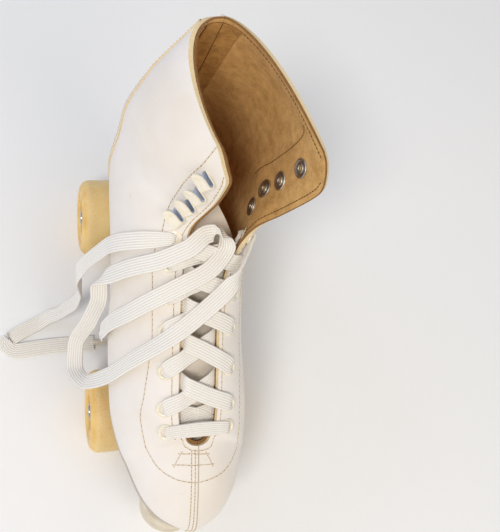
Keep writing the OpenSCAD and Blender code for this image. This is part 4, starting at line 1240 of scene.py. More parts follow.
    def quarters(self) -> None:
        """Build both quarters and both linings."""
        s = self.rows()
        throat, flap, collar = self.skive
        on_throat = smooth_step((s - self.throat_from) / self.blend_rows)
        on_flap = smooth_step((s - self.flap_from) / self.blend_rows)
        pared = throat * on_throat + (flap - throat) * on_flap
        near_top = smooth_step(s - LAST.top_row + 1) / self.top_row_mm
        corner = self.corner_r * (1 - np.sqrt(1 - np.clip(s - LAST.top_row + 1, 0, 1) ** 2))
        for side in Side:
            name = side.name.lower()
            short = self.flap_reach[side] * on_flap
            below = s - self.collar_reach[side] * near_top
            hollow, wide = LAST.throat_t(side, s, 0), LAST.throat_t(side, s, self.hollow_skive)
            outer = np.minimum(LAST.edge_t(side, s, pared + corner + short), wide)
            inner = np.minimum(LAST.edge_t(side, s, corner + short), hollow)
            grids = (self.face(side, 0, below - collar * near_top, outer),
                     self.face(side, LAST.leather_t, below, inner))
            add_shell(f"quarter_leather_{name}", grids, [self.palette.leather] + [self.palette.raw_edge] * 2,
                      (self.edge_round, 2), Slot.LEATHER, f"quarter_{name}")
            reach = np.minimum(LAST.edge_t(side, s, corner), LAST.throat_t(side, s, -self.lining_reach))
            grids = (self.face(side, LAST.leather_t + LAST.layer_gap, s, reach),
                     self.face(side, LAST.wall_t, s, reach))
            add_shell(f"lining_suede_{name}", grids,
                      [self.palette.suede_edge, self.palette.suede, self.palette.suede_edge],
                      (self.edge_round / 2, 2), Slot.SUEDE, f"lining_{name}")

    def back_stays(self) -> None:
        """Build the suede stay down the inside of the back, one half a side."""
        rows = np.linspace(LAST.heel_row + self.stay_short[0], LAST.top_row - self.stay_short[1], 50)
        for side in Side:
            corners = LAST.side_row(side, rows)
            reach = self.stay_half_w / (3 * np.linalg.norm(corners[:, 1] - corners[:, 0], axis=1))
            grids = (self.face(side, LAST.wall_t - self.bite, rows, reach, 11),
                     self.face(side, LAST.wall_t + self.stay_t, rows, reach, 11))
            add_shell(f"back_stay_{side.name.lower()}", grids,
                      [self.palette.stay_suede] * 2 + [self.palette.suede_edge],
                      (self.stay_t / 2, 2), Slot.SUEDE)

    def counters(self) -> None:
        """Build the heel counters, thin leather laid over the back of the quarters."""
        knots = np.array(self.counter_edge)
        rows = np.linspace(knots[0, 0], knots[-1, 0], 90)
        reach = np.interp(rows, *smooth_rows(knots, 12).T)
        for side in Side:
            grids = (self.face(side, -self.counter_t, rows, reach, 29),
                     self.face(side, self.bite, rows, reach, 29))
            add_shell(f"heel_counter_{side.name.lower()}", grids,
                      [self.palette.leather] * 2 + [self.palette.raw_edge],
                      (self.counter_t * 0.6, 3), Slot.LEATHER)

    def seams(self) -> None:
        """Build the lapped edge of the toe seam and the raised seam down the back."""
        s = np.linspace(LAST.hollow_row, 0, 60)
        t = np.linspace(1, 0, 40)[1:]
        toe = [np.concatenate((LAST.skin(side, s, 1), LAST.skin(side, 0, t))) for side in Side]
        back_s = np.linspace(LAST.heel_row, LAST.top_row - self.seam_short, 60)
        back = [LAST.above(side, back_s, 0, self.back_seam_r / 2) for side in Side]
        seams = (("toe_seam_edge", toe, self.toe_seam_r, self.palette.seam_edge),
                 ("back_seam", back, self.back_seam_r, self.palette.leather))
        for name, pair, radius, finish in seams:
            piece = make_piece(name, *tube(sum(pair) / 2, radius), [finish])
            settle(piece, ROOT, Slot.LEATHER)

    def stitches(self, lines: list[Line], pitch: float) -> tuple[Points, Faces, list[int]]:
        """Sew rows of stitches, each between two needle holes.

        Args:
            lines: Each row's places and outward directions.
            pitch: The distance between stitches.

        Returns:
            Points and faces of all the stitches, and each face's kind: 0 thread, 1 needle hole, whose dark
            finish is painted shadow.
        """
        # From hole to hole: shares of a stitch's length, and of the hole's or the thread's girth
        ways = np.array((-0.76, -0.64, -0.5, -0.42, -0.22, 0, 0.22, 0.42, 0.5, 0.64, 0.76))
        # The hole rings sink below the face, and their dark finish is painted shadow of the needle holes
        hole_from, sunk, crown, droop = 0.6, 0.7, 0.6, 3.2
        hole = np.abs(ways) > hole_from
        girth = np.array((0.5, 1, 0.4, 0.75, 1, 1, 1, 0.75, 0.4, 1, 0.5))
        girth = girth * np.where(hole, self.hole_r, self.stitch_r)
        sides = 6
        angle = np.arange(sides) * 2 * math.pi / sides
        rise = np.where(hole, -sunk * girth, self.stitch_r * (crown - droop * ways ** 2))
        template = np.stack([
            np.repeat(ways * pitch * self.stitch_share, sides),
            np.outer(girth, np.cos(angle)).ravel(),
            np.outer(girth, np.sin(angle)).ravel() + np.repeat(rise, sides)], axis=1)
        faces = ring_faces(len(ways), sides)
        kinds = [int(hole[k] or hole[k + 1]) for k in range(len(ways) - 1) for _ in range(sides)] + [1, 1]
        parts = []
        for places, outs in lines:
            index = even_steps(places, pitch)
            middle, out = pick(places, index), unit(pick(outs, index))
            along = np.gradient(middle, axis=0)
            along = unit(along - out * np.sum(along * out, axis=1, keepdims=True))
            cross = np.cross(out, along)
            for p, x, y, z in zip(middle, along, cross, out):
                parts.append((p + template @ np.stack((x, y, z)), faces))
        return *merged(parts), kinds * len(parts)

    def stitching(self) -> None:
        """Sew the boot's visible seams, outside and on the lining."""
        outside, lined, counters = [], [], []
        for side in Side:
            for knots in (self.facing_lines[side], self.hollow_lines[side], *self.tack_edges[side]):
                outside.append(LAST.line(side, knots))
            edge = LAST.edge_line(side, *self.edge_rows, self.edge_row + self.flap_reach[side])
            outside.append(edge)
            lined += [edge, LAST.collar_line(side, *self.collar_ways, self.collar_row)]
            knots = np.array(self.counter_edge)[1:] - (0, self.counter_inset)
            places, outs = LAST.line(side, knots)
            counters.append((places + self.counter_t * outs, outs))
        lined.append(LAST.line(Side.MEDIAL, self.lining_seam))
        inside = [(p - (LAST.wall_t + self.thread_gap) * n, -n) for p, n in lined]
        seams = [LAST.beside_seam(distance) for distance in self.seam_rows]
        tan, brown = self.palette.tan_thread, self.palette.brown_thread
        for name, rows, pitch, finish in (("boot_stitching", outside, self.wide_pitch, tan),
                                          ("seam_stitching", seams, self.seam_pitch, tan),
                                          ("counter_stitching", counters, self.seam_pitch, tan),
                                          ("lining_stitching", inside, self.seam_pitch, brown)):
            points, faces, kinds = self.stitches(rows, pitch)
            # The second finish is painted shadow inside the needle holes
            piece = make_piece(name, points, faces, [finish, self.palette.needle_hole_shadow], kinds)
            settle(piece, ROOT, Slot.LEATHER)

    def build(self) -> None:
        """Build the whole upper."""
        self.quarters()
        self.back_stays()
        self.counters()
        self.seams()
        self.stitching()


@dataclass
class Tongue:
    """Padded leather tongue under the throat, thin at its rim."""

    palette: Palette
    thickness: float = 4.0
    # The rim's share of the thickness, and how fast it grows from the sides and from the top
    rim_share: float = 0.35
    side_growth: float = 6
    top_growth: float = 2
    top_least: float = 0.2
    edge_round: float = 0.5
    steps: int = 12
    across_steps: int = 40
    # The top sinks back behind the open lateral flap: out and along, at the four corners of a row
    sink: Knots = ((0, 6), (-2, 9), (-8, 12), (-15, 12))
    sink_from: float = 3.2
    sink_full: float = 4.8

    def surface(self, s: Points, t: Points) -> Points:
        """Give places on the tongue's upper face.

        Args:
            s: Row numbers, from the toe to the top.
            t: Shares of the way across.

        Returns:
            The places, in millimetres.
        """
        rows = LAST.on_boot(LAST.row(TONGUE_ROWS, s.ravel()))
        sunk = smooth_step((s.ravel() - self.sink_from) / (self.sink_full - self.sink_from))
        rows[..., :2] += sunk[:, None, None] * np.array(self.sink)
        return LAST.curve(rows, t.ravel()).reshape(*s.shape, 3)

    def build(self) -> None:
        """Build the tongue, thinner at its rim than in the middle."""
        last = len(TONGUE_ROWS) - 1
        s, t = np.meshgrid(np.linspace(0, last, last * self.steps + 1),
                           np.linspace(0, 1, self.across_steps + 1), indexing="ij")
        place = self.surface(s, t)
        along, across = np.gradient(place, axis=0), np.gradient(place, axis=1)
        out = unit(np.cross(across, along))
        from_top = np.minimum(1, (last - s) * self.top_growth + self.top_least)
        grown = np.clip(np.minimum(np.minimum(t, 1 - t) * self.side_growth, from_top), 0, 1)
        thick = self.thickness * (self.rim_share + (1 - self.rim_share) * np.sqrt(grown))
        add_shell("tongue_padded", (place, place - thick[..., None] * out),
                  [self.palette.tongue_leather, self.palette.suede, self.palette.raw_edge],
                  (self.edge_round, 2), Slot.LEATHER, "tongue")


@dataclass
class Fittings:
    """Eyelets, lace hooks and the ring rivets behind the hooks."""

    palette: Palette
    bore: float = 5.2
    rim: float = 10.4
    hook_w: float = 8.0
    hook_t: float = 1.0
    hook_gap: float = 2.9
    hook_seat: float = 0.3
    base_l: float = 8.0
    lip_l: float = 9.5
    lip_flare: float = 2.6
    # How the lip's flare grows, how much its end narrows, and its sag across the width
    flare_power: float = 2.2
    lip_taper: float = 0.96
    lip_sag: float = 0.35
    hook_round: float = 0.3
    # The hooks lean away from the throat, as pulled laces leave them, with their tips towards the collar
    hook_turn: float = 18.0
    hook_lean: float = 20.0
    bend_back: float = 2.5
    rivet_rim: float = 12.0
    rivet_bore: float = 3.0
    turns: int = 40

    def eyelet(self) -> Mesh:
        """Turn one eyelet: a rolled rim, a barrel and a curled back.

        Returns:
            The points and the faces.
        """
        wall, low = LAST.wall_t, self.bore / 2
        wide, barrel = self.rim / 2, self.bore / 2 + 0.5
        profile = [(low, -wall - 0.6), (low, 0.3)]
        profile += arc((low + 1.1, 0.3), 1.1, 180, 70, 6)
        profile += arc((wide - 0.8, 0.25), 0.8, 65, -20, 6)
        profile += [(wide - 0.3, 0.05), (barrel, 0.05), (barrel, -wall - 0.15), (barrel + 1.8, -wall - 0.25)]
        profile += arc((barrel + 1.8, -wall - 0.55), 0.3, 60, -90, 4) + [(low + 0.3, -wall - 0.95)]
        return lathe(np.array(profile), self.turns)

    def rivet(self) -> Mesh:
        """Turn one ring rivet: a dished washer with a curled tube in its middle.

        Returns:
            The points and the faces.
        """
        wall, wide, low = LAST.wall_t, self.rivet_rim / 2, self.rivet_bore / 2
        profile = [(low, 0.1), (low, -wall - 0.5)]
        profile += arc((low + 0.75, -wall - 0.55), 0.75, 180, 360, 8)
        profile += [(low + 1.9, -wall - 0.45), (wide - 1.6, -wall - 0.55)]
        profile += arc((wide - 0.8, -wall - 0.35), 0.8, 250, 390, 8)
        profile += [(wide - 0.5, -wall + 0.02), (low + 0.7, -wall + 0.02), (low + 0.7, 0.1)]
        return lathe(np.array(profile), self.turns)

    def hook(self) -> tuple[Points, Faces, list[int]]:
        """Bend one hook from a strip: base, bend towards the throat, and a flared round lip.

        Returns:
            Points, faces and the kinds of faces: 0 enamelled outside and edge, 1 bare inside.
        """
        radius = self.hook_gap / 2 + self.hook_t / 2
        middle = (-self.bend_back, radius + self.hook_t / 2 + self.hook_seat)
        line = [(self.base_l - self.bend_back, middle[1] - radius), (2.0, middle[1] - radius)]
        line += arc(middle, radius, 270, 90, 12)
        lip = np.sin(np.linspace(0, math.pi / 2, 13))[1:]
        line += [(middle[0] + self.lip_l * u, middle[1] + radius + self.lip_flare * u ** self.flare_power)
                 for u in lip]
        line = np.array(line)
        along = unit(np.gradient(line, axis=0))
        out = np.stack((along[:, 1], -along[:, 0]), axis=1)
        reach = np.concatenate((np.ones(len(line) - len(lip)), np.sqrt(1 - self.lip_taper * lip ** 4)))
        half = self.hook_w / 2 * reach
        ways = np.linspace(-1, 1, 13)
        grids = []
        for depth in (self.hook_t / 2, -self.hook_t / 2):
            face = line + depth * out
            # The lip is dished a little across its width
            sag = self.lip_sag * ways[None] ** 2 * np.linspace(0, 1, len(line))[:, None] ** 2
            y = np.repeat(face[:, :1], len(ways), axis=1)
            z = np.repeat(face[:, 1:], len(ways), axis=1) - sag
            grids.append(np.stack((half[:, None] * ways[None], y, z), axis=2))
        # The first grid lines the channel that holds the lace
        points, faces, kinds = shell(grids[0], grids[1])
        return points, faces, [1 if kind == 0 else 0 for kind in kinds]

    def build(self) -> None:
        """Build and set all the fittings."""
        eyelets, rivets, hooks, hook_kinds = [], [], [], []
        for side in Side:
            for matrix in LAST.eyelet_frames(side):
                points, faces = self.eyelet()
                eyelets.append((placed(points, matrix), faces))
            for matrix in LAST.hook_frames(side):
                points, faces = self.rivet()
                rivets.append((placed(points, matrix), faces))
                points, faces, kinds = self.hook()
                lean = Matrix.Rotation(math.radians(-self.hook_lean), 4, "X")
                turn = Matrix.Rotation(math.radians(side.value * self.hook_turn), 4, "Z")
                hooks.append((placed(points, matrix @ np.array(lean @ turn)), faces))
                hook_kinds += kinds
        piece = make_piece("enamelled_eyelets", *merged(eyelets), [self.palette.enamel])
        settle(piece, ROOT, Slot.ENAMEL, "eyelets")
        piece = make_piece("enamelled_hooks", *merged(hooks),
                           [self.palette.enamel, self.palette.hook_steel], hook_kinds)
        soften(piece, self.hook_round)
        settle(piece, ROOT, Slot.ENAMEL, "lace_hooks")
        piece = make_piece("ring_rivets", *merged(rivets), [self.palette.nickel])
        settle(piece, ROOT, Slot.NICKEL, "hook_rivets")


@dataclass
class Laces:
    """Flat braided laces: the laced stretch, the two free ends and their tips."""

    palette: Palette
    width: float = 11.0
    thickness: float = 1.6
    ribs: int = 7
    rib_h: float = 0.2
    # The edge's share of the thickness, the least half thickness, and how a narrow lace grows thick
    edge_share: float = 0.08
    least_half_t: float = 0.12
    squeeze_gain: float = 0.9
    step: float = 1.6
    over: float = 1.6
    lining_gap: float = 0.5
    tip_l: float = 18.0
    tip_d: float = 3.6
    tip_turns: int = 24
    half_in_eyelet: float = 2.3
    half_on_eyelet: float = 3.9
    half_on_bar: float = 4.62
    # Shares of the way over the throat, and the upper and the lower lace's heights there
    cross_ways: Values = (0.2, 0.5, 0.82, 0.95)
    cross_high: Values = (2.2, 2.7, 2.3, -2.4)
    cross_low: Values = (0.6, 0.1, -1.6, -3.6)
    # Shares of the step up to the next eyelet: on the flap, at its edge, over the throat, under the other
    rise_on_flap: float = 0.1
    rise_at_edge: float = 0.24
    rise_over: float = 0.54
    rise_under: Pair = (0.8, 0.9)
    # Half widths and extra depth below the highest eyelets, where the flaps part and gather the lace
    gathered: Values = (3.6, 2.6)
    gathered_drop: float = 0.9

    @property
    def under(self) -> float:
        """Height of the lace below the lining, over the outer face."""
        return -LAST.wall_t - self.thickness / 2 - self.lining_gap

    def ribbon(self, name: str, route: Points) -> tuple[Piece, Points]:
        """Make one lace along a route.

        Args:
            name: The piece's name.
            route: Place, width direction and half width of each station.

        Returns:
            The piece, and the places of its middle line.
        """
        index = even_steps(route[:, :3], self.step)
        fine = pick(route, index)
        middle, wide, half = fine[:, :3], fine[:, 3:6], fine[:, 6]
        along = unit(np.gradient(middle, axis=0))
        wide = unit(wide - along * np.sum(wide * along, axis=1, keepdims=True))
        out = np.cross(along, wide)
        across = np.linspace(-1, 1, self.ribs * 4 + 1)
        plump = (1 - np.abs(across) ** 6) ** 0.5 * (1 - self.edge_share) + self.edge_share
        rib = self.rib_h * (np.cos(across * self.ribs * math.pi) - 1) / 2
        height = np.maximum(self.thickness / 2 * plump + rib * plump, self.least_half_t)
        ring_q = np.concatenate((across, across[::-1]))
        ring_h = np.concatenate((height, -height[::-1]))
        # A lace that is squeezed narrow grows thick
        squeeze = 1 + self.squeeze_gain * (1 - half / (self.width / 2))
        points = (middle[:, None] + wide[:, None] * (ring_q[None] * half[:, None])[..., None]
                  + out[:, None] * (ring_h[None] * squeeze[:, None])[..., None])
        count = len(ring_q)
        piece = make_piece(name, points.reshape(-1, 3), ring_faces(len(middle), count), [self.palette.lace],
                           crease=70)
        weave = np.zeros((len(middle), count, 3), np.float32)
        weave[..., 0] = distances(middle)[:, None]
        weave[..., 1] = ring_q[None] * self.width / 2
        layer = piece.data.attributes.new("weave", "FLOAT_VECTOR", "POINT")
        layer.data.foreach_set("vector", weave.ravel())
        return piece, middle

    def station(self, side: Side, s: float, t: float, height: float, half: float) -> Points:
        """One station of a lace over or under the boot's outer face."""
        return np.concatenate((LAST.above(side, s, t, height), LAST.along(side, s, t), [half]))

    def throat_station(self, side: Side, s: float, way: float, height: float, half: float) -> Points:
        """One station of a lace over the throat, at a share of the way to the other side's edge."""
        place = LAST.above(side, s, 1, height) * (1 - way) + LAST.above(side.other, s, 1, height) * way
        return np.concatenate((place, LAST.along(side, s, 1), [half]))

    def crossing(self, side: Side, i: int, on_top: bool) -> list[Points]:
        """Stations from an eyelet's top to the barrel of the other side's next eyelet.

        Args:
            side: The side that the lace comes from.
            i: The eyelet's number.
            on_top: Whether it crosses over the other lace.

        Returns:
            The stations.
        """
        a, b = LAST.eyelet_rows[i], LAST.eyelet_rows[i + 1]
        step, other, full = b - a, side.other, self.width / 2
        heights = self.cross_high if on_top else self.cross_low
        edge = a + self.rise_at_edge * step
        over_throat = [self.throat_station(side, edge + self.rise_over * way * step, way, height, full)
                       for way, height in zip(self.cross_ways, heights)]
        ta, tb = LAST.eyelet_t(side, a), LAST.eyelet_t(other, b)
        highest = i + 2 == len(LAST.eyelet_rows)
        halves = self.gathered if highest else (full, full)
        below = self.under - (self.gathered_drop if highest else 0)
        return [
            self.station(side, a, ta, self.over, self.half_on_eyelet),
            self.station(side, a + self.rise_on_flap * step, (2 * ta + 1) / 3, self.over, full),
            self.station(side, edge, 1, self.over, full),
            *over_throat,
            self.station(other, a + self.rise_under[0] * step, (tb + 3) / 4, below, halves[0]),
            self.station(other, a + self.rise_under[1] * step, (2 * tb + 1) / 3, below, halves[1]),
            self.station(other, b, tb, below, self.half_in_eyelet),
            self.station(other, b, tb, -LAST.wall_t / 2, self.half_in_eyelet),
        ]

    def lead(self, side: Side) -> list[Points]:
        """Give the stations from the lowest eyelet's barrel under the throat to the next eyelet's barrel.

        Args:
            side: The side of the lowest eyelet.

        Returns:
            The stations.
        """
        a, b = LAST.eyelet_rows[:2]
        other, narrow = side.other, self.half_in_eyelet
        ta, tb = LAST.eyelet_t(side, a), LAST.eyelet_t(other, b)
        return [
            self.station(side, a, ta, -LAST.wall_t / 2, narrow),
            self.station(side, a, ta, self.under, narrow),
            self.throat_station(side, (a + b) / 2, 0.5, self.under, self.width / 2),
            self.station(other, b, tb, self.under, narrow),
            self.station(other, b, tb, -LAST.wall_t / 2, narrow),
        ]

    def bar(self) -> list[Points]:
        """Lay the straight bar over the lowest pair of eyelets.

        Returns:
            The stations.
        """
        s = LAST.eyelet_rows[0]
        first, last = (self.station(side, s, LAST.eyelet_t(side, s), self.over, self.half_on_eyelet)
                       for side in Side)
        return [first, self.throat_station(Side.LATERAL, s, 0.5, self.over, self.half_on_bar), last]

    def half(self, first: Side, odd_on_top: bool) -> list[Points]:
        """Stations of one lace's zigzag.

        Args:
            first: The side of its first eyelet.
            odd_on_top: Whether its odd crossings, or else its even ones, lie over the other lace.

        Returns:
            The stations, up to the top eyelet's barrel.
        """
        stations, side = [], first
        for i in range(1, len(LAST.eyelet_rows) - 1):
            stations += self.crossing(side, i, (i % 2 == 1) == odd_on_top)
            side = side.other
        return stations

    def start(self, side: Side) -> list[Points]:
        """Give a free end's first stations: in the highest eyelet's barrel and on top of the eyelet.

        Args:
            side: The side of the eyelet.

        Returns:
            The stations.
        """
        s = LAST.eyelet_rows[-1]
        t = LAST.eyelet_t(side, s)
        return [self.station(side, s, t, -LAST.wall_t / 2, self.half_in_eyelet),
                self.station(side, s, t, self.over, self.half_on_eyelet)]

    def tip(self, route: Points) -> Mesh:
        """Roll one tip round a lace's end: a tube with a rounded nose.

        Args:
            route: The lace's stations.

        Returns:
            The points and the faces.
        """
        end = route[-1, :3]
        along = unit(end - route[-2, :3])
        wide = unit(route[-1, 3:6] - along * (route[-1, 3:6] @ along))
        radius = self.tip_d / 2
        profile = [(AXIS_R, -1.5), (radius * 0.9, -1.5), (radius, -1.0), (radius, self.tip_l - 2.0)]
        profile += arc((radius - 1.4, self.tip_l - 1.5), 1.4, 0, 80, 5) + [(AXIS_R, self.tip_l)]
        points, faces = lathe(np.array(profile), self.tip_turns)
        return placed(points, frame_of(wide, np.cross(along, wide), along, end)), faces

    def free_end(self, name: str, side: Side, table: Points, node: str) -> float:
        """Args:
            name: The piece's name.
            side: The side of its eyelet.
            table: Its route beyond the eyelet.
            node: The node that it replaces.

        Returns:
            Its length, in metres.
        """
        wide = np.concatenate((table, np.full((len(table), 1), self.width / 2)), axis=1)
        route = smooth_rows(np.concatenate((self.start(side), wide)), 12)
        piece, middle = self.ribbon(name, route)
        tip = make_piece(f"{name}_tip", *self.tip(route), [self.palette.lace_tip])
        settle(piece, ROOT, Slot.LACE, node)
        settle(tip, ROOT, Slot.LACE)
        length = float(np.linalg.norm(np.diff(middle, axis=0), axis=1).sum()) * MM
        return length

    def build_free_ends(self) -> None:
        """Build both free ends."""
        ends = (("lace_free_end_lateral", Side.LATERAL, LATERAL_END, "lace_end_lateral"),
                ("lace_free_end_medial", Side.MEDIAL, MEDIAL_END, "lace_end_medial"))
        for name, side, table, node in ends:
            LOG.info("%s measures %.3f m", name, self.free_end(name, side, table, node))
        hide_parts("lace_tips")

    def build_laced(self) -> None:
        """Build the laced stretch of both sides."""
        lateral = self.lead(Side.LATERAL) + self.half(Side.MEDIAL, True)
        medial = self.bar() + self.lead(Side.MEDIAL) + self.half(Side.LATERAL, False)
        for name, stations in (("lateral", lateral), ("medial", medial)):
            route = smooth_rows(np.array(stations), 8)
            piece, _ = self.ribbon(f"laced_stretch_{name}", route)
            settle(piece, ROOT, Slot.LACE, f"lacing_{name}")


@dataclass
class Sole:
    """Leather outsole with a painted edge, and the stacked heel under it."""

    palette: Palette
    outsole_t: float = 8.0
    edge_round: float = 1.2
    sunk: float = 0.4
    welt: float = 0.3
    heel_welt: float = 1.0
    deck_h: float = 70.0
    heel_front: float = 74.0
    lifts: int = 6
    groove: float = 0.3
    # Half the groove's width at its bottom and at its mouth
    slit: float = 0.02
    swell: float = 0.35

    def outline(self, side: Side, s: Points, margin: float) -> Points:
        """Places on the feather line, moved outwards by a margin.

        Args:
            side: The side of the boot.
            s: Row numbers from the toe to the heel.
            margin: The distance outside the feather line.

        Returns:
            X and Y of each place.
        """
        bit = 0.1
        p = LAST.skin(side, s, 0)[:, :2]
        d = (LAST.skin(side, np.minimum(s + bit, LAST.heel_row), 0) - LAST.skin(side, s - bit, 0))[:, :2]
        n = side.value * unit(np.stack((d[:, 1], -d[:, 0]), axis=1))
        n[s == 0] = (0, -1)
        n[s == LAST.heel_row] = (0, 1)
        return p + margin * n

    def build_outsole(self) -> None:
        """Build the outsole as a sheet that follows the arch."""
        heel, crowd, steps = LAST.heel_row, 1.6, 24
        s = np.concatenate((np.linspace(0, 1, steps)[:-1] ** crowd, np.linspace(1, heel - 1, 5 * steps)[:-1],
                            heel - np.linspace(1, 0, steps) ** crowd))
        sides = [self.outline(side, s, self.welt) for side in Side]
        share = np.linspace(0, 1, 31)[None, :, None]
        plan = sides[0][:, None] * (1 - share) + sides[1][:, None] * share
        top = LAST.sole_top - self.sunk + LAST.lift(plan[..., 1])
        upper = np.concatenate((plan, top[..., None]), axis=2)
        lower = np.concatenate((plan, top[..., None] - self.outsole_t), axis=2)
        add_shell("leather_outsole", (upper, lower),
                  [self.palette.sole_edge, self.palette.sole_face, self.palette.sole_edge],
                  (self.edge_round, 3), Slot.SOLE, "outsole")

    def build_heel(self) -> None:
        """Build the heel as a stack of lifts with fine grooves between them."""
        dense = np.linspace(0, LAST.heel_row, 2000)
        height = LAST.heel_lift / self.lifts
        # Each lift swells from the groove below it and draws in to the groove above it
        slit, swell = self.slit, self.swell
        rises = ((slit, -self.groove), (swell, 0.0), (height - swell, 0.0), (height - slit, -self.groove))
        levels = [(self.deck_h + k * height + rise, inset)
                  for k in range(self.lifts) for rise, inset in rises]
        rings = []
        for z, inset in levels:
            halves = []
            for side in Side:
                plan = self.outline(side, dense, self.heel_welt + inset)
                start = int(np.argmax(plan[:, 1] >= self.heel_front - inset))
                halves.append(pick(plan, np.linspace(start, len(plan) - 1, 70)))
            ring = np.concatenate((halves[0], halves[1][::-1][1:]))
            rings.append(np.column_stack((ring, np.full(len(ring), z))))
        piece = make_piece("stacked_heel", np.concatenate(rings), ring_faces(len(rings), len(rings[0])),
                           [self.palette.heel], crease=30)
        settle(piece, ROOT, Slot.HEEL, "heel_block")

    def build(self) -> None:
        """Build the outsole and the heel."""
        self.build_outsole()
        self.build_heel()


@dataclass
class Wheels:
    """Four cast wheels with sealed bearings."""

    palette: Palette
    diameter: float = 58.0
    width: float = 31.0
    edge_r: float = 7.0
    inner_x: float = 24.0
    mouth_r: float = 12.5
    seat_r: float = 11.02
    rib_r: float = 8.5
    # The rolled tread starts at a radius and is full after a few millimetres
    tread_from: float = 26.0
    tread_blend: float = 2.4
    race_x: Pair = (27.0, 47.0)
    bearing_w: float = 7.0
    axle_z: float = 29.0
    turns: int = 128
    seal_turns: int = 48

    def place(self, end: End, side: Side) -> Points:
        """Frame of one wheel: origin on the axle in the middle plane, local +Z outwards."""
        out = side.value
        return frame_of((0, 0, -out), (0, 1, 0), (out, 0, 0), (0, AXLE_Y[end], self.axle_z))

    def profile(self) -> Points:
        """Give the section of one wheel: round tread edges, a stepped face and two bearing seats.

        Returns:
            The corners.
        """
        radius, e = self.diameter / 2, self.edge_r
        low, high = self.inner_x, self.inner_x + self.width
        mouth, seat, rib = self.mouth_r, self.seat_r, self.rib_r
        # Radius, and depth below the wheel's side
        face = ((mouth, 2.2), (mouth + 0.5, 1.2), (mouth + 1.6, 0.6), (14.8, 0.6), (15.1, 1.0), (19.4, 1.0),
                (19.8, 0.5), (20.8, 0.12))
        loop = [(r, low + d) for r, d in face]
        loop += arc((radius - e, low + e), e, -90, 0, 12) + arc((radius - e, high - e), e, 0, 90, 12)
        loop += [(r, high - d) for r, d in reversed(face)]
        in_low, in_high = self.race_x[0] + self.bearing_w, self.race_x[1] - self.bearing_w
        loop += [(mouth, self.race_x[1]), (seat, self.race_x[1]), (seat, in_high), (rib, in_high),
                 (rib, in_low), (seat, in_low), (seat, self.race_x[0]), (mouth, self.race_x[0])]
        return np.array(loop)

    def seal_profile(self, face_x: float, out: int) -> Points:
        """Give the section of one bearing seal: a shallow dish between the races.

        Args:
            face_x: The bearing's outer face.
            out: The sign of its outward direction.

        Returns:
            The corners.
        """
        # Radius, and height over the bearing's face
        dish = ((6.1, -0.9), (6.1, -0.35), (6.6, -0.2), (8.0, -0.55), (9.0, -0.2), (9.4, 0.02), (9.7, 0.02),
                (9.7, -0.9))
        return np.array([(radius, face_x + high * out) for radius, high in dish])

    def build(self) -> None:
        """Build the wheels and seals."""
        profile = self.profile()
        tread = np.clip((profile[:, 0] - self.tread_from) / self.tread_blend, 0, 1)
        for end in End:
            for side in Side:
                name = f"{end.name.lower()}_{side.name.lower()}"
                points, faces = lathe(profile, self.turns)
                piece = make_piece(f"{name}_cast_wheel", placed(points, self.place(end, side)), faces,
                                   [self.palette.urethane], crease=50)
                layer = piece.data.attributes.new("tread", "FLOAT", "POINT")
                layer.data.foreach_set("value", np.repeat(tread, self.turns).astype(np.float32))
                settle(piece, f"{name}_wheel_set", Slot.URETHANE, f"{name}_wheel")
                points, faces = merged([lathe(self.seal_profile(x, out), self.seal_turns)
                                        for x, out in zip(self.race_x[::-1], (1, -1))])
                seal = make_piece(f"{name}_bearing_seals", placed(points, self.place(end, side)), faces,
                                  [self.palette.seal])
                settle(seal, f"{name}_wheel_set", Slot.STEEL)


@dataclass
class Trucks:
    """Rubber cushions of both trucks, in each truck's own tilted frame."""

    palette: Palette
    tilt: float = 10.0
    kingpin_in: float = 26.0
    ring_z: float = 40.0
    ring_t: float = 8.0
    cushion_d: float = 24.0
    cushion_h: float = 10.0
    edge_r: float = 1.8
    bore_r: float = 5.3
    turns: int = 64

    def place(self, end: End) -> Points:
        """Give the frame of one truck: origin at the hanger ring, local +Z up the kingpin.

        Args:
            end: The end of the skate.

        Returns:
            The frame's matrix.
        """
        turn = Matrix.Rotation(math.pi, 4, "Z") if end is End.FRONT else Matrix.Identity(4)
        lean = Matrix.Rotation(math.radians(self.tilt), 4, "X")
        middle = (0, AXLE_Y[end] - end.value * self.kingpin_in, self.ring_z)
        return np.array(Matrix.Translation(middle) @ turn @ lean)

    def cushion(self) -> Points:
        """Give the section of one cushion: a barrel with round rims and a waist groove.

        Returns:
            The corners.
        """
        radius, high, e = self.cushion_d / 2, self.cushion_h, self.edge_r
        loop = [(self.bore_r, 0.0), (radius - e, 0.0)]
        loop += arc((radius - e, e), e, -80, 0, 6)
        waist = ((0, -1.2), (0.7, -0.4), (0.7, 0.4), (0, 1.2))
        loop += [(radius - inset, high / 2 + up) for inset, up in waist]
        loop += arc((radius - e, high - e), e, 0, 80, 6)
        loop += [(radius - e, high), (self.bore_r, high)]
        return np.array(loop)

    def build(self) -> None:
        """Build the cushions."""
        points, faces = lathe(self.cushion(), self.turns)
        for end in End:
            for name, low in (("upper", self.ring_t / 2), ("lower", -self.ring_t / 2 - self.cushion_h)):
                node = f"{end.name.lower()}_{name}_cushion"
                lifted = placed(points + np.array((0, 0, low)), self.place(end))
                piece = make_piece(f"{node}_moulded", lifted, faces, [self.palette.cushion])
                settle(piece, frame["nodes"][node]["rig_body"], Slot.CUSHION, node)


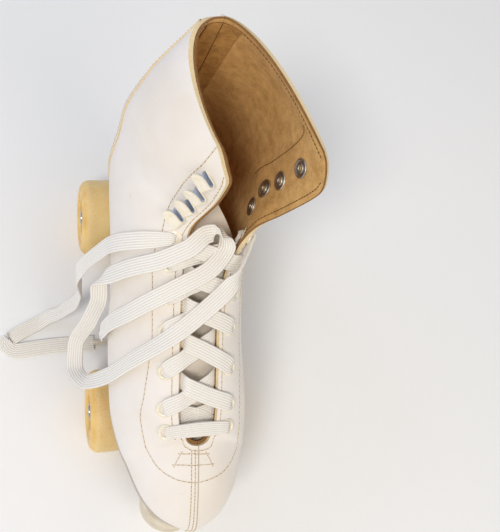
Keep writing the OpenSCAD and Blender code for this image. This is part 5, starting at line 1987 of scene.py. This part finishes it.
@dataclass
class ToeStop:
    """Moulded rubber toe stop."""

    palette: Palette
    diameter: float = 42.0
    height: float = 24.0
    floor_gap: float = 13.0
    along: float = -117.5
    tilt: float = 12.0
    edge_r: float = 6.0
    rim_r: float = 1.2
    # The steel flange and the stem, with their clearance
    flange_r: float = 17.02
    flange_t: float = 2.5
    stem_r: float = 8.02
    stem_foot: float = 8.0
    turns: int = 96

    def place(self) -> Points:
        """Frame of the stop: origin at the middle of its lower face, local +Z up the stem."""
        lean = Matrix.Rotation(math.radians(-self.tilt), 4, "X")
        return np.array(Matrix.Translation((0, self.along, self.floor_gap)) @ lean)

    def build(self) -> None:
        """Build the pad: a dished, scuffed lower face, a round edge and a moulded band."""
        radius, high, e = self.diameter / 2, self.height, self.edge_r
        loop = [(AXIS_R, 0.5), (radius - e - 4, 0.4), (radius - e, 0.0)]
        loop += arc((radius - e, e), e, -90, 0, 10)
        band = ((0, 6.5), (0.5, 6.2), (0.5, 5.4), (0, 5.1))
        loop += [(radius - inset, high - down) for inset, down in band]
        loop += arc((radius - self.rim_r, high - self.rim_r), self.rim_r, 0, 90, 5)
        loop += [(self.flange_r, high), (self.flange_r, high - self.flange_t),
                 (self.stem_r, high - self.flange_t), (self.stem_r, self.stem_foot), (AXIS_R, self.stem_foot)]
        points, faces = lathe(np.array(loop), self.turns)
        piece = make_piece("toe_stop_moulded", placed(points, self.place()), faces, [self.palette.stop])
        settle(piece, frame["nodes"]["toe_stop_pad"]["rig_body"], Slot.STOP, "toe_stop_pad")


@dataclass
class Hardware:
    """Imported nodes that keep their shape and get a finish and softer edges."""

    palette: Palette
    edges: dict[str, float] = field(default_factory=lambda: {
        "plate": 0.9, "front_hanger": 0.8, "rear_hanger": 0.8, "kingpin_nuts": 0.5, "front_axle_nuts": 0.5,
        "rear_axle_nuts": 0.5, "mounting_bolts": 0.5, "heel_screws": 0.5, "toe_stop_lock_nut": 0.6,
        "cushion_washers": 0.3, "tee_nuts": 0.3, "insole": 0.5})
    other_edges: float = 0.25

    def build(self, replaced: set[str]) -> None:
        """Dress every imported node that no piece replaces.

        Args:
            replaced: The nodes that are replaced.
        """
        finishes = dict.fromkeys(("plate", "front_hanger", "rear_hanger"), self.palette.casting)
        finishes |= {"pivot_cups": self.palette.pivot, "insole": self.palette.suede}
        for name, node in frame["nodes"].items():
            if name in replaced:
                continue
            node.data.materials.clear()
            node.data.materials.append(finishes.get(name, self.palette.steel))
            soften(node, self.edges.get(name, self.other_edges), weld=True)
            LOG.info("%s keeps its packed shape", name)


@dataclass
class Studio:
    """Plain pale floor, soft light and the camera."""

    palette: Palette
    position: Triple = (-109.0, -119.8, 620.3)
    back: Triple = (-0.3347, -0.3136, 0.8886)
    azimuth: float = -46.86
    roll: float = -42.92
    focal_px: float = 794.28
    axis_px: Pair = (287.5, 227.05)
    frame_px: tuple[int, int] = (500, 532)
    sensor_mm: float = 36.0
    floor_half: float = 3000.0
    floor_z: float = -0.2
    # What the lights point at, in metres
    aim: Triple = (0.0, 0.0, 0.12)
    # Name, place and side in metres, power in watts, and colour
    lights: tuple[tuple[str, Triple, float, float, str], ...] = (
        ("warm_key", (-1.15, -0.95, 2.35), 0.7, 30.0, "#FFFBF6"),
        ("cool_window", (-1.25, 0.75, 0.95), 1.1, 4.5, "#BCD0FF"),
        ("soft_fill", (0.45, -1.0, 1.1), 0.9, 5.0, "#FFF1DE"))
    sky_colour: str = "#F4F6FA"
    sky_strength: float = 0.45
    nearest_m: float = 0.01

    def build_camera(self) -> None:
        """Set the camera where the photograph was taken from."""
        back = unit(np.array(self.back))
        turn, roll = math.radians(self.azimuth), math.radians(self.roll)
        level = np.array((math.cos(turn), math.sin(turn), 0))
        level = unit(level - back * (level @ back))
        upright = np.cross(back, level)
        right = level * math.cos(roll) - upright * math.sin(roll)
        up = level * math.sin(roll) + upright * math.cos(roll)
        data = bpy.data.cameras.new("studio_camera")
        data.sensor_fit = "VERTICAL"
        data.sensor_height = self.sensor_mm
        data.lens = self.focal_px / self.frame_px[1] * self.sensor_mm
        data.shift_x = (self.frame_px[0] / 2 - self.axis_px[0]) / self.frame_px[1]
        data.shift_y = (self.axis_px[1] - self.frame_px[1] / 2) / self.frame_px[1]
        data.clip_start = self.nearest_m
        camera = bpy.data.objects.new("studio_camera", data)
        camera.matrix_world = Matrix(frame_of(right, up, back, np.array(self.position) * MM).tolist())
        bpy.context.scene.collection.objects.link(camera)
        bpy.context.scene.camera = camera

    def add_light(self, name: str, place: Triple, size: float, power: float, colour: str) -> None:
        """Add one soft area light that points at the skate.

        Args:
            name: The light's name.
            place: Where it stands, in metres.
            size: The side of its square face.
            power: Its power in watts.
            colour: Its colour.
        """
        data = bpy.data.lights.new(name, "AREA")
        data.size = size
        data.energy = power
        data.color = linear(colour)[:3]
        light = bpy.data.objects.new(name, data)
        back = unit(np.array(place) - np.array(self.aim))
        right = unit(np.cross((0.0, 0.0, 1.0), back))
        light.matrix_world = Matrix(frame_of(right, np.cross(back, right), back, place).tolist())
        bpy.context.scene.collection.objects.link(light)

    def build(self) -> None:
        """Build the floor and the lights."""
        half, z = self.floor_half, self.floor_z
        corners = np.array(((-half, -half, z), (half, -half, z), (half, half, z), (-half, half, z)))
        floor = make_piece("studio_floor", corners, [(0, 1, 2, 3)], [self.palette.floor])
        for light in self.lights:
            self.add_light(*light)
        world = bpy.data.worlds.new("studio_world")
        world.use_nodes = True
        sky = world.node_tree.nodes["Background"]
        sky.inputs["Color"].default_value = linear(self.sky_colour)
        sky.inputs["Strength"].default_value = self.sky_strength
        bpy.context.scene.world = world
        bpy.context.scene.view_settings.view_transform = "Standard"


def main() -> None:
    """Build the skate's pieces in order and report each one."""
    logging.basicConfig(level=logging.INFO, format="%(message)s")
    palette = Palette()
    studio = Studio(palette)
    studio.build_camera()
    laces = Laces(palette)
    laces.build_free_ends()
    laces.build_laced()
    Upper(palette).build()
    Tongue(palette).build()
    Fittings(palette).build()
    Sole(palette).build()
    Wheels(palette).build()
    Trucks(palette).build()
    ToeStop(palette).build()
    replaced = {name for name, node in frame["nodes"].items() if node.hide_render}
    Hardware(palette).build(replaced)
    studio.build()


if __name__ == "__main__":
    main()
